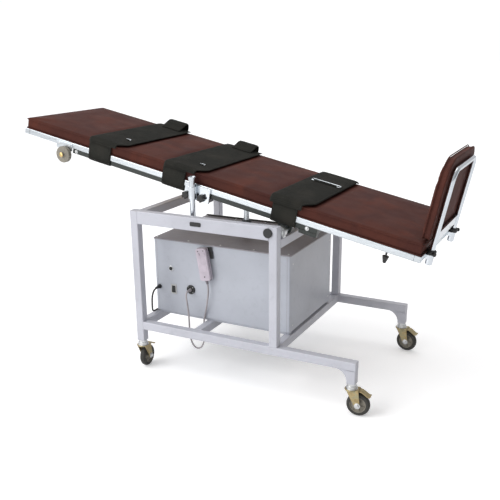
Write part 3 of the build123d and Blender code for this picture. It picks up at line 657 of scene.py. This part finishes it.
def footboard_pad():
    """The foot plate's pad: rounded top corners, piping round both rims and a flat back."""
    source = frame["nodes"]["footboard_pad"]
    mesh = bmesh.new()
    mesh.from_mesh(source.data)
    mesh.transform(TABLE.inverted())
    pad = new_piece("foot_pad_cover", mesh, "footboard", "vinyl", TABLE, crease=180)
    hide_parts("footboard_pad")
    low = Vector([min(v.co[a] for v in pad.data.vertices) for a in range(3)])
    high = Vector([max(v.co[a] for v in pad.data.vertices) for a in range(3)])
    applied(pad, "REMESH", mode="VOXEL", voxel_size=5.5 * MM)
    swell(pad, lambda co: co.x > high.x - 5 * MM, 7 * MM, 4.0)
    for vertex in pad.data.vertices:
        vertex.co.x = min(vertex.co.x, high.x - 0.3 * MM)
    applied(pad, "SUBSURF", levels=1, render_levels=1)
    dress(pad, "vinyl")
    for name, x in (("foot_pad_piping_front", low.x + 5 * MM), ("foot_pad_piping_back", high.x - 4 * MM)):
        outline = rounded_outline((low.y + 1 * MM, high.y - 1 * MM), (low.z + 1 * MM, high.z - 1 * MM),
            mm(17, 17, 99, 99), 14)
        wire(name, [(x, y, z) for y, z in outline], 2.1 * MM, "footboard", "vinyl", True, TABLE, PIPING)


def ribbon(name, path, edges, thick, ripple=0.0, across=14):
    """A strip of padded cloth along a path of (V, N), between the two U edges that edges(V) gives."""
    def wavy(u, at):
        return ripple * noise.noise(Vector((u * 24, at.x * 24, at.y * 24 + len(name))))

    line = smooth_line(path, 9 * MM)
    rings = []
    seams = [[], []]
    for i, point in enumerate(line):
        before, after = line[max(0, i - 1)], line[min(len(line) - 1, i + 1)]
        ahead = (after - before).normalized()
        normal = Vector((-ahead.y, ahead.x))
        first, last = edges(point.x)
        upper, lower = [], []
        for k in range(across + 1):
            s = -math.cos(math.pi * k / across)
            u = (first + last) / 2 + (last - first) / 2 * s
            wave = wavy(u, point)
            swollen = thick / 2 * (1 - abs(s) ** 7) ** 0.5
            if i in (0, len(line) - 1):
                swollen *= 0.45
            top = point + normal * (swollen + wave)
            base = point + normal * (wave - swollen)
            upper.append((u, top.x, top.y))
            lower.append((u, base.x, base.y))
        rings.append(upper + lower[-2:0:-1])
        for seam, s in zip(seams, (-1, 1)):
            u = (first + last) / 2 + ((last - first) / 2 - 5 * MM) * s
            spot = point + normal * (thick / 2 * 0.96 + wavy(u, point))
            seam.append((u, spot.x, spot.y))
    piece = new_piece(name, lattice(rings), "table", "webbing", TABLE, crease=60)
    stitches(name + "_stitches", [smooth_line(seam, 3 * MM) for seam in seams])
    return piece


def straight_edges(centre, wide):
    def edges(v):
        return centre - wide / 2, centre + wide / 2
    return edges


def rounded_edges(centre, wide):
    """The U edges of a band whose foot-end corner is rounded at the near edge."""
    radius, reach, start = mm(62, 58, -236)

    def edges(v):
        past = min(reach, max(0.0, start - v))
        back = radius - math.sqrt(radius**2 - past**2)
        return centre - wide / 2, centre + wide / 2 - back
    return edges


def web_path(thick, lift):
    """Up the near side from under the subframe, over the top, and down the far side."""
    side = TABLE_HALF + STRAP_LIFT + thick / 2
    top = CUSHION_TOP + lift + thick / 2
    low = SUBFRAME_LOW - 1 * MM - thick / 2
    half = [(side - 32 * MM, low), (side - 8 * MM, low), (side - 1 * MM, low + 5 * MM), (side, 40 * MM),
        (side + 0.6 * MM, 74 * MM), (side, 104 * MM), (side - 2.5 * MM, top - 9 * MM),
        (side - 11 * MM, top - 1.2 * MM), (side - 30 * MM, top)]
    near = [(-v, n) for v, n in half]
    flat = [(v * MM, top + 0.4 * MM) for v in (-160, 0, 160)]
    return near + flat + half[::-1]


def raised(path):
    """A path of (V, N) in millimetres above the webbing, as (V, N) of the table in metres."""
    base = CUSHION_TOP + STRAP_LIFT + 3.6 * MM
    return [(v * MM, base + n * MM) for v, n in path]


def strap(name, band_path, thick, ripple):
    """One strap: webbing all round the table, and its padded upper band."""
    centre, wide, side_centre, narrow = STRAPS[name]
    web = ribbon(f"{name}_web", web_path(3.2 * MM, STRAP_LIFT), straight_edges(side_centre, narrow),
        3.2 * MM)
    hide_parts(f"{name}_strap")
    band = ribbon(f"{name}_band", raised(band_path), rounded_edges(centre, wide), thick, ripple=ripple)


def flap(name, centre, wide, height):
    """The strap's spare end, doubled back so that it stands up on the far edge."""
    fold = 9
    path = [(v, fold + (n - fold) * height if n > fold else n) for v, n in FLAP_PATH]
    piece = ribbon(f"{name}_flap", raised(path), straight_edges(centre, wide), 8 * MM, ripple=1.2 * MM)


NARROW_BAND = [(-297.5, -15), (-297, -7), (-292, 2), (-280, 4.4), (-240, 4.6), (-120, 4.8), (0, 4.6),
    (120, 5.0), (200, 4.8), (262, 4.4), (282, 2.6)]
WIDE_PAD = [(-300, -22), (-299.5, -12), (-296, -1), (-284, 5.6), (-262, 7.0), (-90, 7.4), (30, 7.6),
    (150, 7.4), (235, 6.8), (272, 4.8), (286, -3)]
FLAP_PATH = [(206, 10.4), (228, 19), (250, 29), (270, 37), (283, 38), (291, 32), (294, 18), (294, 2),
    (292, -14)]


def buckles():
    """Bent-wire buckles: a long bail on the knee pad and a small bar on each narrow strap."""
    for name, v, half_u, half_v, wire_radius, lift in (
            ("chest", *mm(-185, 12, 6, 1.2, 13.5)),
            ("hip", *mm(-205, 12, 6, 1.2, 13.5)),
            ("knee", *mm(70, 69, 11, 2.0, 19))):
        centre = STRAPS[name][0] + (7 * MM if name == "knee" else 40 * MM)
        outline = rounded_rectangle(half_u, half_v, 5 * MM, 5)
        height = CUSHION_TOP + lift
        points = [(centre + x, v + y, height + (1.5 * MM if y > 0 else 0)) for x, y in outline]
        loop = wire(f"{name}_buckle", points, wire_radius, "table", "bright_steel", True, TABLE)
        if name == "chest":
            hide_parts("strap_buckles")
        keeper = rounded_block((centre - half_u * 0.8, v - half_v - 5 * MM, height - 2.6 * MM),
            (centre + half_u * 0.8, v - half_v + 3.5 * MM, height + 3 * MM), 1.4 * MM)
        new_piece(f"{name}_keeper", keeper, "table", "webbing", TABLE)


# ===== cords
HANDSET_ROUTE = [
    (-0.506, -0.262, 0.379), (-0.506, -0.281, 0.379), (-0.502, -0.296, 0.368), (-0.495, -0.3015, 0.345),
    (-0.489, -0.301, 0.299), (-0.4885, -0.2975, 0.243), (-0.4915, -0.292, 0.188),
    (-0.488, -0.288, 0.143), (-0.469, -0.286, 0.11), (-0.438, -0.286, 0.112), (-0.421, -0.283, 0.143),
    (-0.426, -0.273, 0.176), (-0.4365, -0.257, 0.206), (-0.438, -0.2485, 0.242),
    (-0.429, -0.2495, 0.276), (-0.4155, -0.259, 0.314), (-0.4045, -0.2655, 0.362),
    (-0.3994, -0.266, 0.402), (-0.4031, -0.266, 0.4252),
]
MAINS_ROUTE = [
    (-0.678, -0.259, 0.371), (-0.678, -0.288, 0.371), (-0.677, -0.309, 0.354), (-0.677, -0.316, 0.326),
    (-0.681, -0.311, 0.294), (-0.69, -0.298, 0.267), (-0.702, -0.272, 0.2495),
    (-0.7105, -0.228, 0.2445), (-0.71, -0.169, 0.2435), (-0.7115, -0.11, 0.243),
    (-0.71, -0.051, 0.2435), (-0.711, 0.008, 0.243), (-0.71, 0.067, 0.2435), (-0.711, 0.126, 0.243),
    (-0.71, 0.185, 0.2435), (-0.708, 0.239, 0.244), (-0.69, 0.284, 0.2495), (-0.655, 0.309, 0.226),
    (-0.632, 0.315, 0.176), (-0.619, 0.315, 0.118), (-0.611, 0.319, 0.064), (-0.605, 0.334, 0.026),
    (-0.603, 0.362, 0.0055), (-0.607, 0.394, 0.0046), (-0.611, 0.426, 0.0044),
]
HANDSET_CORD_RADIUS = 3.75 * MM
MAINS_CORD_RADIUS = 4.0 * MM
COIL_CENTRE = Vector(mm(-554, 435))
COIL_OUTER = 58 * MM
COIL_PITCH = 8.1 * MM
COIL_LAYER_TURNS = 3
STEPS_PER_TURN = 16


def coil_points():
    """Turns of the put-away cord: inward on the floor, outward on top of them, then off to the plug."""
    start = math.atan2(MAINS_ROUTE[-1][1] - COIL_CENTRE.y, MAINS_ROUTE[-1][0] - COIL_CENTRE.x)
    extra = (start % (2 * math.pi) - math.pi / 2) / (2 * math.pi)
    turns = 2 * COIL_LAYER_TURNS + extra
    count = round(turns * STEPS_PER_TURN)
    # the spline runs inside its control points by this share
    share = math.cos(math.pi / STEPS_PER_TURN) ** 2 * 0.5 + 0.5
    points = []
    for k in range(1, count + 1):
        turn = turns * k / count
        inward = turn <= COIL_LAYER_TURNS
        radius = COIL_OUTER - COIL_PITCH * (turn if inward else 2 * COIL_LAYER_TURNS - turn)
        level = MAINS_CORD_RADIUS + 0.4 * MM
        if not inward:
            level += COIL_PITCH * min(1.0, (turn - COIL_LAYER_TURNS) / 0.3)
        angle = start - 2 * math.pi * turn
        x, y = COIL_CENTRE + Vector(polar(radius / share, angle))
        points.append((x, y, level))
    return points


def plug_start():
    """Where the cord enters the plug's relief."""
    low, high = corners("mains_plug")
    return BASE.inverted() @ Vector((low.x, (low.y + high.y) / 2, 16.2 * MM))


def cords():
    handset = wire("handset_lead", HANDSET_ROUTE, HANDSET_CORD_RADIUS, "base", "cord_grey", False, BASE,
        order=3)
    handset.data.bevel_resolution = 5
    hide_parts("handset_cord")
    end = plug_start()
    points = MAINS_ROUTE + coil_points()
    last = Vector(points[-1])
    points += [tuple(last.lerp(end, share)) for share in (0.35, 0.7)] + [tuple(end)]
    mains = wire("mains_lead", points, MAINS_CORD_RADIUS, "base", "cord_black", False, BASE, order=3)
    mains.data.bevel_resolution = 4
    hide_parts("mains_cord", "mains_coil")
    relief = turned("mains_relief", [(0, 0), (7.5, 0), (7.5, 4), (6.4, 5), (5.2, 24), (0, 24)], "base",
        "black_plastic", BASE @ facing(Vector(MAINS_ROUTE[0]) + Vector((0, 3 * MM, 0)), (0, -1, 0)))


# ===== controls on the housing
def panel_details():
    """Socket ring and plug, gland nut, switch bezel and reset collar, in place of the plain fittings."""
    face = HOUSING_LOW.y
    rocker = middle("rocker_switch")
    reset = middle("reset_button")
    out = -ACROSS

    def on_face(x, z):
        return facing(Vector((x, face, z)), out)

    socket = BASE @ Vector(mm(-506, 0, 379))
    ring = turned("socket_ring", [(0, 0), (22, 0), (22, 4), (20.6, 5.6), (16, 6.4), (14, 4.6), (0, 4.6)],
        "base", "black_plastic", on_face(socket.x, socket.z))
    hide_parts("panel_fittings")
    turned("socket_plug", [(0, 3), (7.4, 3), (7.4, 12), (7, 13.5), (6.6, 14.5), (6.2, 19), (4.6, 34),
        (0, 34)], "base", "cord_grey", on_face(socket.x, socket.z), FINISHES["cord_grey"])
    for k in range(4):
        x, z = polar(18 * MM, math.radians(45 + 90 * k))
        at = Vector((socket.x + x, face - 5.8 * MM, socket.z + z))
        screw(f"socket_screw_{k + 1}", at, out, 2 * MM, "base")
    gland = BASE @ Vector(MAINS_ROUTE[0])
    new_piece("gland_nut", prism(polygon(11 * MM, 6), 0, 7 * MM, 0.8 * MM), "base", "black_plastic",
        on_face(gland.x, gland.z))
    turned("gland_dome", [(0, 6), (9, 6), (9, 10), (8, 14), (0, 14.5)], "base", "black_plastic",
        on_face(gland.x, gland.z))
    outline = rounded_rectangle(15 * MM, 23 * MM, 3 * MM, 4)
    inner = rounded_rectangle(10 * MM, 17.4 * MM, 1.5 * MM, 4)
    rings = []
    for points, height in ((inner, 0), (outline, 0), (outline, 2.2 * MM),
            ([(x * 0.96, y * 0.97) for x, y in outline], 3.0 * MM), (inner, 3.0 * MM), (inner, 0)):
        rings.append([(x, y, height) for x, y in points])
    place = basis(Vector((1, 0, 0)), UP, out, Vector((rocker.x, face, rocker.z)))
    new_piece("switch_bezel", lattice(rings, False), "base", "black_plastic", place, WHITE_PLASTIC)
    turned("reset_ring", [(8.2, 0), (13, 0), (13, 2.4), (11, 4), (9, 4), (8.2, 3.2)], "base",
        "black_plastic", on_face(reset.x, reset.z), ZINC, hollow=True)


def screw(name, at, direction, radius, body):
    """A cross-head screw: a domed head with a cross cut as two grooves."""
    head = prism(polygon(radius, 20), -0.4 * MM, radius * 0.45, radius * 0.2)
    arm = radius * 0.62
    for size in ((arm, radius * 0.13), (radius * 0.13, arm)):
        bmesh.ops.create_cube(head, size=2.0, matrix=shifted((0, 0, radius * 0.46))
            @ Matrix.Diagonal((*size, radius * 0.05, 1)))
    new_piece(name, head, body, "bright_steel", facing(at, direction), ZINC)


def bolt(name, at, direction, radius, body):
    """A hexagon bolt head on its washer, by the head's radius in mm."""
    place = facing(at, direction)
    head = prism(polygon(radius * MM, 6), 1.2 * MM, (1.2 + radius * 0.75) * MM, radius * 0.08 * MM)
    new_piece(name, head, body, "bright_steel", place, ZINC)
    washer = [(0, 0), (radius * 1.5, 0), (radius * 1.5, 1.0), (radius * 1.42, 1.4), (0, 1.4)]
    turned(name + "_washer", washer, body, "bright_steel", place, ZINC)


def handset_details():
    """Blank face plate, two arrow marks, a lamp, the case's seam and a ribbed relief."""
    up = Vector(joint("handset_lift")["axis"]).normalized()
    buttons = (middle("button_up") + middle("button_down")) / 2
    centre = Vector((buttons.x, HOUSING_LOW.y - 23 * MM, buttons.z)) - up * 48 * MM
    side = ACROSS.cross(up)
    out = -ACROSS
    front = centre + out * 12.5 * MM
    place = basis(side, up, out, front)
    plate = rounded_outline(mm(-19, 19), mm(-34, 26), [5 * MM] * 4, 5)
    new_piece("handset_plate", prism(plate, -0.6 * MM, 0.5 * MM, 0.2 * MM), "handset", "handset_plastic",
        place)
    for name, x, flip in (("arrow_up", -14 * MM, 1), ("arrow_down", 14 * MM, -1)):
        base = 64 * MM - 2.5 * MM * flip
        tip = [(x - 4 * MM, base), (x + 4 * MM, base), (x, 64 * MM + 3 * MM * flip)]
        new_piece(name, prism(tip if flip > 0 else tip[::-1], -0.5 * MM, 0.35 * MM, 0.12 * MM), "handset",
            "black_plastic", place)
    turned("handset_lamp", [(0, -0.5), (3, -0.5), (3, 0.8), (2, 1.6), (0, 1.9)], "handset", "black_plastic",
        place @ shifted((0, -56 * MM, 0)))
    seam = rounded_rectangle(27.2 * MM, 76.2 * MM, 12 * MM, 8)
    wire("handset_seam", [(x, y, -13 * MM) for x, y in seam], 0.6 * MM, "handset", "black_plastic", True,
        place)
    for k in range(4):
        radius = 6.6 - 0.5 * k
        low = shifted((0, -79 * MM - 4.4 * MM * k, -12.5 * MM))
        at = place @ low @ Matrix.Rotation(math.pi / 2, 4, "X")
        turned(f"relief_rib_{k + 1}", [(0, -1.3), (radius, -1.3), (radius + 0.8, 0), (radius, 1.3),
            (0, 1.3)], "handset", "black_plastic", at)


def housing_details():
    """Screws round the lid, a black strip along its rear edge standing for the shaded gap there (painted shadow),
    and a folded panel joint on the end.
    """
    lid_low, lid_high = corners("housing_lid")
    inset = 16 * MM
    for row, y in enumerate((lid_low.y + inset, lid_high.y - inset)):
        for k in range(5):
            x = lid_low.x + inset + (lid_high.x - lid_low.x - 2 * inset) * k / 4
            screw(f"lid_screw_{row + 1}_{k + 1}", Vector((x, y, lid_high.z)), UP, 4.2 * MM, "base")
    # a black strip with the rubber finish, laid along the lid's rear edge where there is only a shaded gap:
    # painted shadow
    strip = rounded_block((lid_low.x + 3 * MM, lid_high.y - 9 * MM, lid_high.z - 1 * MM),
        (lid_high.x - 3 * MM, lid_high.y + 1.5 * MM, lid_high.z + 7 * MM), 2 * MM)
    new_piece("lid_rear_shadow_strip", strip, "base", "black_plastic", material=FINISHES["tyre_rubber"])
    y = HOUSING_LOW.y
    for name, x in (("panel_joint_head", HOUSING_LOW.x + 14 * MM),
            ("panel_joint_foot", HOUSING_HIGH.x - 14 * MM)):
        wire(name, [(x, y - 0.1 * MM, HOUSING_LOW.z + 5 * MM), (x, y - 0.1 * MM, HOUSING_HIGH.z - 5 * MM)],
            0.5 * MM, "base", "lid_paint")
    for row, z in enumerate((HOUSING_LOW.z + 40 * MM, HOUSING_HIGH.z - 40 * MM)):
        for k, y in enumerate((HOUSING_LOW.y + 30 * MM, HOUSING_HIGH.y - 30 * MM)):
            screw(f"end_screw_{row + 1}_{k + 1}", Vector((HOUSING_HIGH.x, y, z)), (1, 0, 0), 3.6 * MM,
                "base")


# ===== frame, table and castor trim
def weld(name, corner, axis_a, axis_b, run, length):
    """A rippled bead in the corner between two faces, along run."""
    points = []
    count = round(length / (3 * MM))
    for k in range(count + 1):
        at = corner + run * (length * k / count) + (axis_a + axis_b) * 1.1 * MM
        points.append(tuple(at + axis_a * 0.35 * MM * (k % 2)))
    wire(name, points, 1.9 * MM, "base", "frame_paint")


def frame_welds():
    """Beads where the rails meet the posts, inside each side frame's corners."""
    head = corners("head_base_rail")[1].x
    foot = corners("foot_top_rail")[0].x
    base_top = corners("foot_base_rail")[1].z
    rail_low = corners("near_side_frame")[1].z - 58 * MM
    x_axis = Vector((1, 0, 0))
    for name, node in (("near", "near_side_frame"), ("far", "far_side_frame")):
        low = corners(node)[0]
        for spot, x, z, sx, sz in (("1", head, base_top, 1, 1), ("2", foot, base_top, -1, 1),
                ("3", head, rail_low, 1, -1), ("4", foot, rail_low, -1, -1)):
            weld(f"weld_{name}_{spot}", Vector((x, low.y + 3 * MM, z)), x_axis * sx, UP * sz, ACROSS,
                32 * MM)


def cross_welds():
    """Beads where the cross rails meet the side frames' inner faces."""
    inner = corners("foot_base_rail")[1].y
    for node in ("head_base_rail", "middle_base_rail", "foot_base_rail", "foot_top_rail"):
        low, high = corners(node)
        top = corners("foot_base_rail")[1].z if "base" in node else high.z
        width = 34 * MM
        start = low.x + 2 * MM
        for name, side in SIDES:
            weld(f"weld_{node}_{name}", Vector((start, side * inner, top - 2.2 * MM)),
                Vector((0, -side, 0)), UP, Vector((1, 0, 0)), width)


def pivot_details():
    """Bolts of the pillow blocks, collars on the shaft's ends and bolts on the subframe."""
    pivot = Vector(joint("table_tilt")["pos_m"])
    half = corners("pivot_shaft")[1].y
    for name, side in SIDES:
        out = ACROSS * side
        turned(f"shaft_collar_{name}", [(0, 0), (15, 0), (16, 1), (16, 4), (13, 6), (0, 6)], "table",
            "bright_steel", facing(pivot + out * (half - 3 * MM), out), ZINC)
        for k, u in enumerate((-1096, -560, 96)):
            at = TABLE @ Vector((u * MM, side * (TABLE_HALF - 4 * MM), 37 * MM))
            bolt(f"subframe_bolt_{name}_{k + 1}", at, out, 6, "table")
    block_low = corners("pivot_brackets")[0]
    for name, side in SIDES:
        for k, x in enumerate(mm(-17, 9)):
            at = Vector((pivot.x + x, side * 315 * MM, block_low.z + 9 * MM))
            bolt(f"bracket_bolt_{name}_{k + 1}", at + Vector((0, side * 12 * MM, 0)), (0, side, 0), 4.5,
                "base")


def table_details():
    """Mitre lines at the corners, and screws and brass hubs on the head rollers."""
    for name, side in SIDES:
        outer = side * (TABLE_HALF + 0.25 * MM)
        inner = side * (TABLE_HALF - 26.3 * MM)
        for spot, u in (("foot", FOOT_END - 27 * MM), ("head", HEAD_END + 27 * MM)):
            loop = [(u, outer, EDGE_LOW - 0.2 * MM), (u, outer, EDGE_TOP + 0.2 * MM),
                (u, inner, EDGE_TOP + 0.2 * MM), (u, inner, EDGE_LOW - 0.2 * MM)]
            wire(f"mitre_{spot}_{name}", loop, 0.5 * MM, "table", "black_paint", True, TABLE)
        out = ACROSS * side
        for k, u in enumerate(mm(-1192, -1132)):
            at = TABLE @ Vector((u, side * (TABLE_HALF + 5 * MM), 56 * MM))
            screw(f"roller_screw_{name}_{k + 1}", at, out, 4 * MM, "table")
        roller = middle(f"head_roller_{name}")
        turned(f"roller_hub_{name}", [(0, 0), (11, 0), (11, 1.6), (9, 3.4), (5, 4.6), (0, 5)], "table",
            "bright_steel", facing(Vector((roller.x, side * (TABLE_HALF + 36 * MM), roller.z)), out), BRASS)


def footboard_details():
    """Black locking collars on the sockets, each with a thumb screw."""
    for name, side in SIDES:
        at = TABLE @ shifted(mm(592, side * 194, 66.4))
        turned(f"footboard_collar_{name}", [(11.4, 0), (18, 0), (19, 2), (19, 15), (17, 18), (13, 19),
            (11.4, 19)], "table", "black_plastic", at, hollow=True)
        knob = TABLE @ shifted(mm(592, side * 194, 75))
        direction = TABLE.to_3x3() @ Vector((0.6, side * 0.8, 0))
        start = knob.translation + direction.normalized() * 17 * MM
        turned(f"thumb_screw_{name}", [(0, 0), (4, 0), (4, 6), (8, 8), (8.6, 12), (7, 15), (0, 16)],
            "table", "black_plastic", facing(start, direction))


def actuator_details():
    """A ribbed rubber collar under the rod's eye."""
    rod_axis = Vector(joint("actuator_stroke")["axis"]).normalized()
    place = facing(Vector(joint("actuator_swing")["pos_m"]), rod_axis)
    turned("rod_boot", [(13.6, 39), (18.6, 39), (20, 41.5), (18, 44.5), (20, 47.5), (18.6, 50.5), (16, 53),
        (13.6, 53)], "actuator_rod", "black_plastic", place, FINISHES["tyre_rubber"], hollow=True)


def pole_details():
    """A flared cup on top of the clamp's pole."""
    low, high = corners("clamp_pole")
    top = Vector(((low.x + high.x) / 2, (low.y + high.y) / 2, high.z))
    turned("pole_cup", [(11, -4), (15.4, -2), (17.5, 7), (18, 10), (16.6, 10.4), (15, 6), (13, 1),
        (11, 0.6)], "pole", "chrome", shifted(top), hollow=True)


def mirrored(half):
    """A profile followed by its mirror image."""
    return half + [(r, -h) for r, h in reversed(half)]


def castor(number):
    """Tyre, ribbed hub, axle nuts and race of one castor."""
    wheel = middle(f"castor_wheel_{number}")
    axis = Vector(joint(f"wheel_spin_{number}")["axis"]).normalized()
    place = facing(wheel, axis)
    body = f"wheel_{number}"
    tread = mirrored([(34.5, -12), (40, -13.6), (45, -12.6), (48.6, -9), (50, -4.5), (50, -1.2),
        (49.4, -0.8)])
    tyre = turned(f"tyre_{number}", tread, body, "tyre_rubber", place, steps=64, hollow=True)
    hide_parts(f"castor_wheel_{number}")
    web = mirrored([(5.1, -15), (10.5, -15), (12, -13.5), (12.5, -7), (20, -5), (30, -6), (33, -11.5),
        (35, -12)])
    turned(f"hub_{number}", web, body, "grey_nylon", place, steps=48, hollow=True)
    for side in (-1, 1):
        for k in range(6):
            angle = math.radians(60 * k + 15)
            rib = rounded_block(mm(13, -1.6, 4), mm(33, 1.6, 9.5), 0.8 * MM)
            spot = place @ Matrix.Rotation(angle, 4, "Z") @ Matrix.Rotation(math.pi * (side < 0), 4, "X")
            new_piece(f"hub_rib_{number}_{k + 1}_{'a' if side < 0 else 'b'}", rib, body, "grey_nylon", spot)
        end = "a" if side < 0 else "b"
        bolt(f"axle_nut_{number}_{end}", wheel + axis * side * 22 * MM, axis * side, 8.5,
            f"castor_{number}")
    swivel = Vector(joint(f"castor_swivel_{number}")["pos_m"])
    turned(f"race_{number}", [(9, 0), (25, 0), (25.6, 0.4), (25, 0.8), (9, 0.8)], f"castor_{number}",
        "zinc_white", shifted((swivel.x, swivel.y, 118.1 * MM)), hollow=True)
    turned(f"raceway_lip_{number}", [(26, 0), (29, 0.6), (30, 3), (29, 5.4), (26, 6)], f"castor_{number}",
        "zinc_yellow", shifted((swivel.x, swivel.y, 112 * MM)), hollow=True)


# ===== stage, light and camera
FLOOR_GLOW = 0.30


def stage():
    mesh = bmesh.new()
    bmesh.ops.create_grid(mesh, x_segments=1, y_segments=1, size=40)
    data = bpy.data.meshes.new("floor")
    mesh.to_mesh(data)
    mesh.free()
    floor = linked("floor", data, shifted((0, 0, -0.5 * MM)))
    f = Finish("floor_paper", 0.9)
    f.colour(f.ramp(f.noise(0.6, 2.0), [(0.3, (0.92, 0.92, 0.92)), (0.7, (0.94, 0.94, 0.94))]))
    seen = f.add("ShaderNodeLightPath").outputs["Is Camera Ray"]
    f.shader.inputs["Emission Color"].default_value = (1, 1, 1, 1)
    f.link(f.math("MULTIPLY", seen, FLOOR_GLOW), f.shader.inputs["Emission Strength"])
    floor.data.materials.append(f.material)


def lamp(name, kind, location, aim, energy, size, colour=(1, 1, 1)):
    data = bpy.data.lights.new(name, kind)
    data.energy = energy
    data.color = colour
    if kind == "SUN":
        data.angle = math.radians(size)
    else:
        data.shape = "SQUARE"
        data.size = size
    light = linked(name, data)
    light.location = location
    light.rotation_euler = (Vector(aim) - Vector(location)).to_track_quat("-Z", "Y").to_euler()


def lighting():
    world = bpy.data.worlds.new("studio")
    bpy.context.scene.world = world
    world.use_nodes = True
    tree = world.node_tree
    background = tree.nodes["Background"]
    background.inputs["Color"].default_value = (0.97, 0.975, 1.0, 1.0)
    split = tree.nodes.new("ShaderNodeSeparateXYZ")
    tree.links.new(tree.nodes.new("ShaderNodeTexCoord").outputs["Generated"], split.inputs[0])
    side = tree.nodes.new("ShaderNodeMapRange")
    side.inputs["From Min"].default_value = -1.0
    side.inputs["To Min"].default_value = 0.95
    side.inputs["To Max"].default_value = 0.30
    tree.links.new(split.outputs["X"], side.inputs["Value"])
    seen = tree.nodes.new("ShaderNodeMix")
    tree.links.new(tree.nodes.new("ShaderNodeLightPath").outputs["Is Camera Ray"], seen.inputs[0])
    tree.links.new(side.outputs["Result"], seen.inputs[2])
    seen.inputs[3].default_value = 1.05
    tree.links.new(seen.outputs[0], background.inputs["Strength"])
    lamp("key", "SUN", (-2.5, -2.2, 4.0), (0, 0, 0.6), 1.15, 40)
    lamp("front", "AREA", (-1.6, -4.2, 1.9), (0, 0, 0.6), 55, 3.0)
    lamp("top", "AREA", (0.4, 0.6, 3.6), (0, 0, 0.8), 26, 2.4, (1.0, 0.98, 0.95))
    view = bpy.context.scene.view_settings
    view.view_transform = "Standard"
    view.look = "None"


def camera():
    """The photograph's viewpoint, with its turns in degrees and its lens for a 36 mm wide sensor."""
    stand = (1.19879, -2.94672, 1.49852)
    yaw, pitch, roll = 26.31, 18.25, -0.19
    data = bpy.data.cameras.new("camera")
    data.sensor_width = 36
    data.lens = 52.32024
    data.shift_x = -0.02454
    data.shift_y = 0.04944
    place = BASE @ shifted(stand)
    for angle, axis in ((yaw, "Z"), (90 - pitch, "X"), (roll, "Z")):
        place = place @ Matrix.Rotation(math.radians(angle), 4, axis)
    bpy.context.scene.camera = linked("camera", data, place)


# ===== everything
cushion()
footboard_pad()
strap("chest", NARROW_BAND, *mm(6.5, 1.4))
strap("hip", NARROW_BAND, *mm(6.5, 1.4))
strap("knee", WIDE_PAD, *mm(11, 1.0))
flap("chest", *mm(-911, 108), 1.0)
flap("hip", *mm(-497, 106), 0.8)
buckles()
cords()
panel_details()
handset_details()
housing_details()
frame_welds()
cross_welds()
pivot_details()
table_details()
footboard_details()
actuator_details()
pole_details()
for castor_number in range(1, 5):
    castor(castor_number)
stage()
lighting()
camera()
